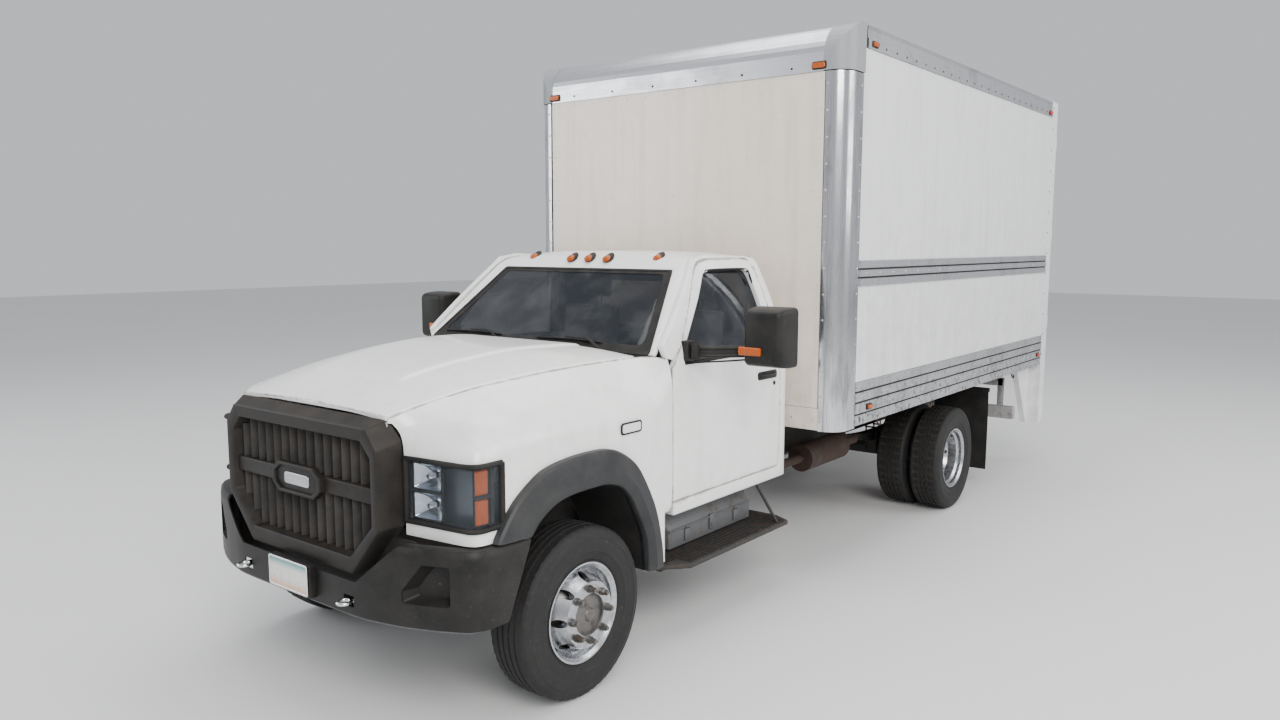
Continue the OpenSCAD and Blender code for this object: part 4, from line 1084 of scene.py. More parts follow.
class TRUCK_OT_flares(bpy.types.Operator):
    """Wheel-arch flares with their inner chamfer, and the liners"""

    bl_idname = "truck.flares"
    bl_label = "Flares"

    def execute(self, context):
        count = 72
        outer = spline([(*p, 0) for p in FLARE_OUT], 200)
        inner = spline([(*p, 0) for p in FLARE_IN], 200)
        rings, liner = [], []
        for i in range(count + 1):
            share = i / count
            a, b = along_line(inner, share), along_line(outer, share)

            def mid(t, x):
                p = a.lerp(b, t)
                return at(x, p.x, p.y)

            rings.append([
                mid(0.0, 0.980), mid(0.0, 1.022), mid(0.03, 1.029), mid(0.30, 1.049), mid(0.36, 1.0515),
                mid(0.42, 1.0495), mid(0.80, 1.041), mid(0.93, 1.035), mid(
                    0.985, 1.024
                ), mid(1.0, 1.010), mid(1.0, 0.980),
            ])  # fmt: skip
            out = (b - a).normalized() * 0.004
            liner.append(
                [
                    at(x, a.x + out.x * k, a.y + out.y * k) for x,
                    k in ((0.57, 0), (1.0, 0), (1.0, 1), (0.57, 1))
                ]
            )
        flare = loft("flare_left", rings, closed=True, caps=True, angle=28)
        lining = loft("liner_left", liner, closed=True, caps=True)
        other = mirrored(flare, "flare_right")
        fitted(flare, "truck", "trim_black", finishes()["flare"], "fender_flares")
        fitted(other, "truck", "trim_black", finishes()["flare"])
        second = mirrored(lining, "liner_right")
        for piece in (lining, second):
            fitted(piece, "truck", "trim_black", finishes()["seal"])
        return {"FINISHED"}


GRILLE_OUT = [
    (-0.527, 1.375), (0.527, 1.375), (0.600, 1.285), (0.600, 0.935),
    (0.403, 0.707), (-0.403, 0.707), (-0.600, 0.935), (-0.600, 1.285),
]
GRILLE_IN = [
    (-0.480, 1.312), (0.480, 1.312), (0.545, 1.244), (0.545, 0.945),
    (0.386, 0.784), (-0.386, 0.784), (-0.545, 0.945), (-0.545, 1.244),
]


GRILLE_BACK = [
    (-0.563, 1.408), (0.563, 1.408), (0.600, 1.310), (0.600, 0.935),
    (0.403, 0.707), (-0.403, 0.707), (-0.600, 0.935), (-0.600, 1.310),
]  # fmt: skip


def face_plate(name, outline, holes, front, thickness, radius):
    """Plate whose outline is seen from the front, its face at a station."""
    return plate(name, outline, holes, thickness, lambda u, v, depth: at(u, front + depth, v), radius, 0.4)


class TRUCK_OT_grille(bpy.types.Operator):
    """Grille surround, vanes, crossbar, blank plaque and the mesh behind"""

    bl_idname = "truck.grille"
    bl_label = "Grille"

    def execute(self, context):
        mats = finishes()
        outer, inner, back = (
            rounded(points, r, 5) for points,
            r in ((GRILLE_OUT, 0.020), (GRILLE_IN, 0.016), (GRILLE_BACK, 0.024))
        )
        middle = Vector((0, 1.045))

        def ring(line, grow, station):
            """Points of an outline, moved out from it, at one station or one per point."""
            points = [p.xy + (p.xy - middle).normalized() * grow for p in line]
            return [at(p.x, station(p.y) if callable(station) else station, p.y) for p in points]

        def behind(z):
            """The side runs back to the fender's edge, and the top stops short of the hood."""
            return table([(1.270, -0.704), (1.345, -0.716), (1.395, -0.748), (1.406, -0.774)], z)

        rings = [
            ring(
                inner, -0.030, -0.720
            ), ring(inner, 0.0, -0.836), ring(inner, 0.004, -0.843), ring(inner, 0.012, -0.846),
            ring(outer, -0.014, -0.850), ring(outer, -0.004, -0.847), ring(outer, 0.0, -0.838),
            ring(back, 0.0, lambda z: behind(z) - 0.004), ring(back, -0.006, behind), ring(
                inner, 0.006, lambda z: behind(z) + 0.002
            ),
        ]  # fmt: skip
        frame_piece = loft("grille_frame", [*rings, rings[0]], closed=True, angle=28)
        fitted(frame_piece, "truck", "trim_black", mats["grille"], "grille_surround")
        vanes = []
        count = 16
        for k in range(count):
            x = -0.508 + 1.016 * k / (count - 1)
            high = 1.306 - max(0.0, abs(x) - 0.475) * 1.05
            low = 0.790 + max(0.0, abs(x) - 0.384) * 1.02
            for bottom, top in ((low, 1.037), (1.108, high)):
                # Each vane is a thin blade, turned a little, with a rounded front edge
                turn = 0.012
                section = [
                    (x - 0.0035, -0.808), (x, -0.812), (x + 0.0035, -0.808),
                    (x + 0.0025 + turn, -0.768), (x - 0.0025 + turn, -0.768),
                ]  # fmt: skip
                vanes.append(
                    loft(
                        "vane", [[at(u, s, z) for u, s in section] for z in (bottom, top)], closed=True,
                        caps=True
                    )
                )
        fitted(joined("grille_vanes", vanes), "truck", "trim_black", mats["vane"], "grille_insert")
        bar = block("grille_crossbar", at(-0.551, -0.826, 1.036), at(0.551, -0.766, 1.109), 0.008, 3)
        fitted(bar, "truck", "trim_black", mats["grille"])
        backing = face_plate(
            "grille_mesh", [(x * 0.99, 1.045 + (z - 1.045) * 0.99) for x, z in GRILLE_IN], [], -0.752,
            0.008, 0.001
        )
        fitted(backing, "truck", "trim_black", mats["mesh"])
        outline = [
            (-0.140, 1.000), (0.140, 1.000), (0.190, 1.042), (0.190, 1.103), (0.140, 1.145),
            (-0.140, 1.145), (
                -0.190, 1.103
            ),
            (-0.190, 1.042),
        ]  # fmt: skip
        inner = [(x * 0.88, 1.0725 + (z - 1.0725) * 0.76) for x, z in outline]
        rim = face_plate(
            "plaque_rim", rounded(outline, 0.010), [rounded(inner, 0.008)], -0.857, 0.034, 0.006
        )
        back = face_plate(
            "plaque_back",
            rounded([(x * 1.04, 1.0725 + (z - 1.0725) * 1.06) for x, z in inner], 0.008), [], -0.846, 0.020,
            0.003
        )
        blank = face_plate(
            "plaque_blank", rectangle(-0.098, 0.098, 1.045, 1.100, 0.018), [], -0.851, 0.008, 0.003
        )
        fitted(rim, "truck", "trim_black", mats["grille"])
        fitted(back, "truck", "trim_black", mats["trim"])
        fitted(blank, "truck", "galvanised", mats["bare_metal"])
        return {"FINISHED"}


BUMPER = [
    (0.0, -0.875), (0.230, -0.8745), (0.460, -0.870), (0.580, -0.851), (0.700, -0.820), (0.830, -0.772),
    (0.930, -0.722), (0.985, -0.686), (1.015, -0.645), (1.028, -0.590), (1.030, -0.480), (1.030, -0.342),
]  # fmt: skip
PLATE_Z = (0.565, 0.705)


class TRUCK_OT_bumper(bpy.types.Operator):
    """Bumper with lamp pockets, tow eyes and a blank number plate"""

    bl_idname = "truck.bumper"
    bl_label = "Bumper"

    def execute(self, context):
        mats = finishes()
        half = spline([(x, s, 0) for x, s in BUMPER], 60)
        path = [Vector((-p.x, p.y, 0)) for p in reversed(half[1:])] + half
        rings = []
        for i, p in enumerate(path):
            run = (path[min(i + 1, len(path) - 1)] - path[max(i - 1, 0)]).normalized()
            out = Vector((run.y, -run.x, 0))
            # Section from the lower inner edge, round the face, to the upper inner edge: (inset, height)
            section = [
                (0.030, 0.532), (0.012, 0.531), (0.004, 0.536), (0.0, 0.550), (0.0, 0.700), (0.0, 0.835),
                (0.004, 0.866), (0.016, 0.880), (0.040, 0.885), (0.060, 0.885), (0.060, 0.879), (
                    0.040, 0.879
                ),
                (0.022, 0.873), (0.010, 0.860), (0.007, 0.835), (0.007, 0.700), (0.007, 0.552),
                (0.010, 0.540), (
                    0.030, 0.538
                ),
            ]  # fmt: skip
            rings.append([at(p.x - out.x * k, p.y - out.y * k, z) for k, z in section])
        bumper = loft("bumper", rings, closed=True, caps=True, angle=38)
        cutters = [
            along_prism(
                "middle", [(-0.458, 0.690), (0.458, 0.690), (0.708, 0.900), (-0.708, 0.900)], -1.0, -0.6,
                0.02
            )
        ]
        pocket = [(0.705, 0.640), (0.915, 0.640), (0.915, 0.815), (0.800, 0.815), (0.705, 0.690)]
        for m in (-1, 1):
            cutters.append(along_prism("pocket", [(m * x, z) for x, z in pocket], -1.0, -0.69, 0.016))
            cutters.append(
                block(
                    "slot", at(min(m * 0.372, m * 0.442), -0.95, 0.570),
                    at(max(m * 0.372, m * 0.442), -0.70, 0.622)
                )
            )
        cutters.append(block("front_of_tyre", at(-1.2, -0.352, 0.4), at(1.2, 0.2, 1.0)))
        cutters.append(
            prism(
                "tyre_side",
                [(-0.50, 0.545), (-0.354, 0.885), (-0.2, 0.9), (-0.2, 0.4), (-0.52, 0.4)], -1.2, 1.2
            )
        )
        for cutter in cutters:
            cut(bumper, cutter)
        fitted(bumper, "truck", "trim_black", mats["trim"], "front_bumper")
        sockets = []
        middle = (0.825, 0.722)
        for m in (-1, 1):
            rings = []
            for share, depth in (
                (1.02, 0.003), (1.0, 0.012), (0.80, 0.050), (0.76, 0.062), (0.40, 0.063), (0.05, 0.063)
            ):
                ring = rounded(
                    [
                        (middle[0] + (x - middle[0]) * share, middle[1] + (z - middle[1]) * share) for x,
                        z in pocket
                    ],
                    0.016 * share, 5
                )
                rings.append([at(m * p.x, table(BUMPER, p.x) + depth, p.y) for p in ring])
            sockets.append(
                thickened(loft("socket", rings, closed=True), 0.003, inside=at(m * 0.80, -0.60, 0.72))
            )
        fitted(joined("lamp_pockets", sockets), "truck", "trim_black", mats["trim"])
        apron = face_plate(
            "apron",
            rounded([(-0.715, 0.56), (0.715, 0.56), (0.715, 0.884), (-0.715, 0.884)], 0.01),
            [],
            -0.742,
            0.012,
            0.002,
        )
        hole = [(x * 1.005, z) for x, z in GRILLE_OUT]
        cut(apron, along_prism("hole", hole, -1.0, -0.5, 0.0))
        fitted(apron, "truck", "trim_black", mats["trim"])
        # Light strip under the face
        lip = [at(p.x * 0.999, p.y + 0.004, 0) for p in path[20:-20]]
        strip = loft(
            "bumper_lip",
            [
                [
                    q + Vector((0, dy, z)) for dy,
                    z in ((0, 0.530), (0, 0.5345), (0.02, 0.5345), (0.02, 0.530))
                ]
                for q in lip
            ],
            closed=True, caps=True
        )
        fitted(strip, "truck", "galvanised", mats["tool_grey"])
        eyes = []
        for m in (-1, 1):
            ring = []
            for k in range(49):
                a = 2 * math.pi * k / 48
                ring.append(at(m * 0.407 + 0.029 * math.cos(a), -0.895 + 0.029 * math.sin(a), 0.596))
            eyes.append(tube("eye", ring, 0.0085, 12, caps=False))
            eyes.append(
                block(
                    "bar", at(m * 0.407 - 0.024, -0.872, 0.588), at(m * 0.407 + 0.024, -0.704, 0.604),
                    0.006, 3
                )
            )
        fitted(joined("tow_hooks", eyes), "truck", "chrome", mats["chrome"], "tow_eyes")
        low, high = PLATE_Z
        sheet = face_plate(
            "number_plate", rectangle(-0.153, 0.153, low, high, 0.012), [], -0.912, 0.004, 0.001
        )
        fitted(sheet, "truck", "body_white", mats["plate"])
        rim = face_plate(
            "plate_rim", rectangle(-0.156, 0.156, low - 0.003, high + 0.003, 0.013),
            [rectangle(-0.147, 0.147, low + 0.006, high - 0.006, 0.009)], -0.915, 0.006, 0.0015
        )
        fitted(rim, "truck", "chrome", mats["chrome"])
        holder = face_plate(
            "plate_holder", rectangle(-0.165, 0.165, low - 0.012, high + 0.004, 0.01), [], -0.906, 0.034,
            0.003
        )
        fitted(holder, "truck", "trim_black", mats["trim"])
        return {"FINISHED"}


def along_prism(name, outline, s0, s1, radius):
    """Outline in (x, height), extruded along the truck."""
    ring = rounded(outline, radius) if radius else [Vector(p) for p in outline]
    n = len(ring)
    verts = [at(p.x, s, p.y) for s in (s0, s1) for p in ring]
    faces = [(i, (i + 1) % n, n + (i + 1) % n, n + i) for i in range(n)]
    return make(name, verts, [*faces, list(range(n)), list(range(n, 2 * n))])


LAMP_PLAN = [
    (0.604, -0.702), (0.78, -0.679), (0.930, -0.659), (0.962, -0.650), (0.982, -0.630), (0.990, -0.600),
    (0.992, -0.498)
]


def lamp_line(inset, count=40):
    """The headlight's face in plan, taken in by a distance."""
    line = spline([(x, s, 0) for x, s in LAMP_PLAN], count)
    out = []
    for i, p in enumerate(line):
        run = (line[min(i + 1, count - 1)] - line[max(i - 1, 0)]).normalized()
        out.append(p + Vector((-run.y, run.x, 0)) * inset)
    return out


def lamp_shell(name, inset, thickness, z0, z1, start=0, end=None):
    """Strip that follows the headlight's face between two heights, its top and bottom edges rounded."""
    a, b = lamp_line(inset)[start:end], lamp_line(inset + thickness)[start:end]
    r = min(0.006, (z1 - z0) / 4)
    rings = []
    for p, q in zip(a, b):
        rings.append(
            [
                at(p.x, p.y, z0 + r), at(p.x, p.y, z1 - r), at(*(p.lerp(q, 0.3)).xy, z1), at(q.x, q.y, z1),
                at(q.x, q.y, z0), at(*(p.lerp(q, 0.3)).xy, z0)
            ]
        )
    return loft(name, rings, closed=True, caps=True)


class TRUCK_OT_headlights(bpy.types.Operator):
    """Headlights: clear covers, gaskets, stacked reflectors and amber markers"""

    bl_idname = "truck.headlights"
    bl_label = "Headlights"

    def execute(self, context):
        mats = finishes()
        cover = lamp_shell("headlight_cover_left", 0.002, 0.004, 0.959, 1.231)
        other = mirrored(cover, "headlight_cover_right")
        fitted(cover, "truck", "lens", mats["lens"], "headlight_lenses")
        fitted(other, "truck", "lens", mats["lens"])
        # Bowl behind the cover
        bowl = [lamp_shell("bowl", 0.062, 0.004, 0.957, 1.233)]
        bowl += [lamp_shell("bowl", 0.008, 0.056, z, z + 0.004) for z in (0.955, 1.231)]
        left = joined("headlight_bowl_left", bowl)
        fitted(mirrored(left, "headlight_bowl_right"), "truck", "trim_black", mats["bowl"])
        fitted(left, "truck", "trim_black", mats["bowl"], "headlight_housings")
        # Gasket round the opening: four sides of a rounded frame that follows the face
        gasket = []
        line = lamp_line(-0.001)
        for z in (0.957, 1.233):
            gasket.append(tube("seal", [at(p.x, p.y, z) for p in line], 0.012, 12))
        for p in (line[0] + Vector((0.008, 0, 0)), line[-1]):
            gasket.append(
                tube("seal", [at(p.x, p.y, 0.957), at(p.x, p.y, 1.1), at(p.x, p.y, 1.233)], 0.014, 12)
            )
        seal = joined("headlight_seal_left", gasket)
        fitted(mirrored(seal, "headlight_seal_right"), "truck", "trim_black", mats["seal"])
        fitted(seal, "truck", "trim_black", mats["seal"])
        reflectors, lenses, ambers, bars = [], [], [], []
        for low, high in ((0.972, 1.088), (1.102, 1.218)):
            # Square bowl: rings that narrow towards the bulb
            rings = []
            for share, depth in ((1.0, 0.0), (0.93, 0.010), (0.70, 0.030), (0.42, 0.040), (0.16, 0.044)):
                ring = []
                mid_z, half_z, half_x = (low + high) / 2, (high - low) / 2 * share, 0.078 * share
                for p in rounded(
                    [(-half_x, -half_z), (half_x, -half_z), (half_x, half_z), (-half_x, half_z)],
                    0.012 * share, 5
                ):
                    x = 0.712 + p.x
                    ring.append(at(x, -0.668 + 0.13 * (x - 0.70) + depth, mid_z + p.y))
                rings.append(ring)
            reflectors.append(
                thickened(
                    loft("reflector", rings, closed=True, caps=False), 0.002, inside=at(0.712, -0.60, mid_z)
                )
            )
            lenses.append(
                turned(
                    "bulb",
                    [(0.0, -0.012), (0.010, -0.010), (0.014, 0.0), (0.014, 0.024), (0.0, 0.024)], (0, 0, 0),
                    20, "Z"
                )
            )
            bulb = lenses[-1]
            for v in bulb.data.vertices:
                v.co = at(0.712 + v.co.x, -0.655 + v.co.z, (low + high) / 2 + v.co.y)
            tidy(bulb)
            ambers.append(lamp_shell("amber", 0.014, 0.016, low + 0.004, high - 0.004, 24, 36))
            frame_ring = rectangle(0.625, 0.799, low - 0.006, high + 0.006, 0.014)
            hole = rectangle(0.634, 0.790, low, high, 0.012)
            bars.append(
                plate(
                    "bezel", frame_ring, [hole], 0.010, lambda u, v,
                    d: at(u, -0.674 + 0.13 * (u - 0.70) + d, v), 0.003, 0.5
                )
            )
        bars.append(lamp_shell("bar", 0.012, 0.022, 1.087, 1.103, 23, 38))
        bars.append(lamp_shell("post", 0.012, 0.030, 0.962, 1.228, 22, 24))
        bars.append(lamp_shell("post", 0.012, 0.030, 0.962, 1.228, 36, 38))
        for name, parts, finish in (
            ("headlight_reflectors", reflectors, "reflector"),
            ("headlight_bulbs", lenses, "chrome"),
            ("side_reflectors", ambers, "amber"),
            ("headlight_bezels", bars, "trim"),
        ):
            piece = joined(name + "_left", parts)
            slot_name = "lens" if finish == "amber" else "trim_black"
            fitted(mirrored(piece, name + "_right"), "truck", slot_name, mats[finish])
            fitted(piece, "truck", slot_name, mats[finish])
        return {"FINISHED"}


def side_x(z, radius):
    """Across position of the curved cab side at a height."""
    return -0.955 + math.sqrt(radius**2 - (z - 1.25) ** 2)


BELT = 1.510
DOOR_SKIN = [
    (0.745, 0.960), (0.80, 0.966), (0.95, 0.9695), (1.27, 0.9700), (1.325, 0.9685), (1.42, 0.9635),
    (BELT, 0.9545)
]


def skin(z):
    """Across position of the door's outer face."""
    return side_x(z, 1.926) if z > BELT else table(DOOR_SKIN, z)


WINDOW = [
    (0.905, 1.512), (0.905, 1.575), (1.030, 1.735), (1.225, 1.955), (1.270, 1.990), (1.330, 2.008),
    (1.690, 2.008), (1.730, 1.990), (1.748, 1.950), (1.828, 1.512),
]  # fmt: skip
DOOR_TOP = [
    (1.896, 1.512), (1.868, 1.700), (1.812, 2.010), (1.790, 2.050), (1.740, 2.068), (1.330, 2.068),
    (1.230, 2.050), (1.165, 2.004), (1.010, 1.800), (0.866, 1.590), (0.800, 1.512),
]  # fmt: skip


def side_plate(name, outline, holes, thickness, offset=0.0, radius=0.004):
    """Pressed plate lying on the cab's side, from an outline in (station, height)."""
    return plate(
        name, outline, holes, thickness, lambda u, v, d: at(skin(v) - offset - d, u, v), radius, 0.03
    )


def screen_point(x, up, out):
    """Point on the windscreen's plane: across, up along the glass, and out from it."""
    c, s = math.cos(SCREEN_TILT), math.sin(SCREEN_TILT)
    return at(x, SCREEN_LOW.y + up * c - out * s, SCREEN_LOW.z + up * s + out * c)


SCREEN_H = math.hypot(SCREEN_HIGH.y - SCREEN_LOW.y, SCREEN_HIGH.z - SCREEN_LOW.z)


def screen_plate(name, outline, holes, out, thickness, radius=0.002):
    return plate(name, outline, holes, thickness, lambda u, v, d: screen_point(u, v, out - d), radius, 0.2)


ROOF_ACROSS = [(0.0, 2.117), (0.40, 2.110), (0.60, 2.096), (0.70, 2.080), (0.76, 2.060), (0.792, 2.026)]
ROOF_ALONG = [
    (
        1.166, 2.000
    ), (1.20, 2.040), (1.25, 2.079), (1.32, 2.103), (1.42, 2.117), (1.72, 2.119), (1.80, 2.110),
    (1.848, 2.080), (1.872, 2.030),
]  # fmt: skip


class TRUCK_OT_cab(bpy.types.Operator):
    """Cab: roof, pillars, windscreen frame, back wall, floor and cowl"""

    bl_idname = "truck.cab"
    bl_label = "Cab"

    def execute(self, context):
        _, panels, *_ = sizes()
        mats = finishes()
        across = [(p.x, p.y) for p in spline([(*p, 0) for p in ROOF_ACROSS], 60)]
        along = [(p.x, p.y) for p in spline([(*p, 0) for p in ROOF_ALONG], 80)]
        rings = []
        count = 60
        for i in range(count + 1):
            station = 1.168 + (1.871 - 1.168) * i / count
            ring = []
            for k in range(-36, 37):
                x = 0.790 * math.sin(k / 36 * math.pi / 2)
                a, b = table(across, abs(x)), table(along, station)
                # Smooth minimum of the two profiles
                z = -math.log(
                    math.exp(-45 * (a - 2)) + math.exp(-45 * (b - 2)) - math.exp(-45 * 0.122)
                ) / 45 + 2
                ring.append(at(x, station, min(z, 2.118)))
            rings.append(ring)
        roof = thickened(loft("cab_roof", rings, angle=60), 0.010, inside=at(0, 1.5, 1.2), angle=60)
        fitted(roof, "truck", "body_white", mats["cab_paint"], "cab_shell")
        fitted(self.lining(), "truck", "cabin_plastic", mats["cabin"])
        # Side frame: windscreen pillar, roof rail and rear corner in one pressing
        outer = [
            (1.910, 1.500), (1.978, 1.500), (1.976, 1.540), (1.958, 1.620), (1.875, 2.052), (1.845, 2.074), (
                1.330, 2.092
            ),
            (1.200, 2.072), (1.150, 2.018), (0.960, 1.842), (0.722, 1.620), (0.748, 1.556), (0.800, 1.545),
        ]  # fmt: skip
        gap = 0.007
        inner = [
            (s - gap if s < 1.2 else s + gap, z + (gap if z > 1.6 else 0)) for s, z in reversed(DOOR_TOP)
        ]
        left = side_plate(
            "cab_side_left", rounded([*outer, *inner[1:-1], (1.903, 1.500)], 0.02, 4), [], 0.036, 0.001
        )
        right = mirrored(left, "cab_side_right")
        edge = [at(skin(z), s, z) for s, z in inner]
        marks = [edge, [Vector((-p.x, p.y, p.z)) for p in edge]]
        for piece in (left, right):
            mark_wear(piece, marks, panels.wear * 0.8)
            fitted(piece, "truck", "body_white", mats["cab_paint"])
        for side, m in (("left", 1), ("right", -1)):
            # Dark plastic trim inside each pillar, which also stands in for the shade inside the cab seen
            # through the glass
            pillar = [
                (1.903, 1.500), (1.970, 1.500), (1.950, 1.620), (1.866, 2.040), (1.822, 2.010),
                (1.876, 1.700)
            ]
            trim = plate(
                "pillar_trim_and_shade_" + side,
                rounded(pillar, 0.006, 3),
                [],
                0.004,
                lambda u, v, d: at(m * (skin(v) - 0.0385 - d), u, v),
                0.0015,
                0.03,
            )
            fitted(trim, "truck", "cabin_plastic", mats["cabin"])
        outline = [(-0.900, 0.004), (0.900, 0.004), (0.775, SCREEN_H + 0.028), (-0.775, SCREEN_H + 0.028)]
        hole = [(-0.864, 0.002), (0.864, 0.002), (0.668, SCREEN_H - 0.002), (-0.668, SCREEN_H - 0.002)]
        surround = screen_plate(
            "screen_frame", rounded(outline, 0.02), [rounded(hole, 0.026)], 0.000, 0.022, 0.006
        )
        trim_to_sides(surround, 0.014)
        fitted(surround, "truck", "body_white", mats["cab_paint"])
        # Lower frames, sill, back wall, floor and firewall
        parts = []
        for m in (-1, 1):

            def piece(x0, x1, s0, s1, z0, z1, r):
                xs = sorted((m * x0, m * x1))
                parts.append(block("lower", at(xs[0], s0, z0), at(xs[1], s1, z1), r, 3))

            piece(0.840, 0.9675, 1.908, 1.984, 0.746, 1.510, 0.020)
            piece(0.840, 0.964, 0.790, 1.984, 0.700, 0.772, 0.012)
            piece(0.800, 0.862, 0.690, 0.765, 0.700, 1.512, 0.010)
            piece(0.800, 0.858, 0.790, 1.950, 0.745, 0.866, 0.004)
        parts.append(block("floor", at(-0.858, 0.700, 0.866), at(0.858, 1.950, 0.896), 0.004))
        parts.append(block("firewall", at(-0.800, 0.662, 0.866), at(0.800, 0.688, 1.500), 0.006))
        lower = joined("cab_lower", parts)
        marks = [
            [at(m * 0.966, s, z) for s, z in ((0.79, 0.772), (1.908, 0.772), (1.908, 1.510))]
            for m in (-1, 1)
        ]
        mark_wear(lower, marks, panels.wear * 1.5)
        fitted(lower, "truck", "body_white", mats["cab_paint"])
        back = [
            (-0.955, 0.868), (0.955, 0.868), (0.955, 1.500), (0.930, 1.60), (0.790, 2.030), (-0.790, 2.030),
            (-0.930, 1.60), (-0.955, 1.500)
        ]

        def rear(u, v, d):
            lean = 0 if v < 1.42 else (v - 1.42) * 0.17 + max(0, v - 1.60) * 0.05
            return at(u, 1.985 - lean - d, v)

        window = rectangle(-0.515, 0.515, 1.590, 1.918, 0.05)
        wall = plate("cab_back", rounded(back, 0.03), [window], 0.026, rear, 0.008, 0.06)
        fitted(wall, "truck", "body_white", mats["cab_paint"])
        # Dark plastic lining on the inside of the back wall, which also stands in for the shade inside the
        # cab seen through the glass
        inside = [(x * 0.955, min(z, 1.99)) for x, z in back]
        opening = rectangle(-0.505, 0.505, 1.600, 1.908, 0.05)
        lining = plate(
            "back_trim_and_shade", rounded(inside, 0.02), [opening], 0.004, lambda u, v, d: rear(u, v, d + 0.0365),
            0.0015, 0.06
        )
        fitted(lining, "truck", "cabin_plastic", mats["cabin"])
        pane = plate(
            "rear_pane", rectangle(-0.528, 0.528, 1.578, 1.930, 0.05), [], 0.005, lambda u, v,
            d: rear(u, v, d + 0.030), 0.001, 0.1
        )
        fitted(pane, "truck", "clear_glass", mats["glass"])
        # Cowl under the wipers
        rings = []
        for k in range(41):
            x = -0.858 + 1.716 * k / 40
            rings.append(
                [
                    at(x, s, z) for s,
                    z in (
                        (0.617, 1.505), (0.617, 1.532), (0.628, 1.541), (0.668, 1.546), (0.684, 1.560),
                        (0.690, 1.566), (0.690, 1.505)
                    )
                ]
            )
        fitted(loft("cowl", rings, closed=True, caps=True, angle=30), "truck", "trim_black", mats["grille"])
        # Rain gutter over the door
        gutters = []
        for m in (-1, 1):
            path = [at(m * (skin(z + 0.010) - 0.004), s, z + 0.010) for s, z in reversed(DOOR_TOP[2:-1])]
            gutters.append(tube("gutter", spline(path, 40), 0.006, 10))
        fitted(joined("rain_gutters", gutters), "truck", "body_white", mats["cab_paint"])
        return {"FINISHED"}

    def lining(self):
        """Dark pads under the roof and on the back wall below the window: cabin plastic that also stands in
        for the shade inside the cab seen through the glass.
        """
        pads = [block("pad", at(-0.70, 1.25, 2.050), at(0.70, 1.84, 2.062), 0.004)]
        pads.append(block("pad", at(-0.760, 1.868 - 0.04, 0.80), at(0.760, 1.868 - 0.02, 1.57), 0.004))
        return joined("headlining_and_cab_shade", pads)


def trim_to_sides(obj, inset):
    """Pulls in whatever would stand out past the curved side."""
    for v in obj.data.vertices:
        reach = side_x(max(v.co.z, 1.25), 1.925) - inset
        if abs(v.co.x) > reach:
            v.co.x = math.copysign(reach, v.co.x)


class TRUCK_OT_glass(bpy.types.Operator):
    """Windscreen with its dark border, and the two door windows"""

    bl_idname = "truck.glass"
    bl_label = "Glass"

    def execute(self, context):
        mats = finishes()
        edge = [(-0.862, 0.004), (0.862, 0.004), (0.667, SCREEN_H - 0.004), (-0.667, SCREEN_H - 0.004)]
        border = [(-0.795, 0.062), (0.795, 0.062), (0.632, SCREEN_H - 0.032), (-0.632, SCREEN_H - 0.032)]
        pane = screen_plate("windscreen", rounded(edge, 0.026), [], -0.003, 0.005, 0.001)
        fitted(pane, "truck", "clear_glass", mats["glass"], "cab_glass")
        frit = screen_plate(
            "windscreen_border", rounded(edge, 0.026), [rounded(border, 0.045)], -0.0005, 0.0015, 0.0005
        )
        fitted(frit, "truck", "trim_black", mats["seal"])
        gasket = screen_plate(
            "windscreen_gasket",
            rounded(
                [(-0.872, -0.004), (0.872, -0.004), (0.676, SCREEN_H + 0.005), (-0.676, SCREEN_H + 0.005)],
                0.026
            ),
            [
                rounded(
                    [
                        (-0.852, 0.013), (0.852, 0.013), (0.660, SCREEN_H - 0.012),
                        (-0.660, SCREEN_H - 0.012)
                    ],
                    0.026
                )
            ],
            0.003,
            0.006,
            0.002,
        )
        fitted(gasket, "truck", "trim_black", mats["seal"])
        for side, m in (("left", 1), ("right", -1)):
            outline = [
                (s + (0.008 if s > 1.5 else -0.008), z + (0.008 if z > 1.9 else 0)) for s, z in WINDOW
            ]
            outline[0], outline[-1] = (0.897, 1.466), (1.836, 1.466)
            outline = rounded(outline, 0.012, 4)

            def glass(u, v, d):
                return at(m * (side_x(v, 1.897) - d), u, v)

            window = plate("door_window_" + side, outline, [], 0.005, glass, 0.001, 0.03)
            fitted(window, "door_glass_" + side, "clear_glass", mats["glass"], "door_glass_" + side)
        return {"FINISHED"}


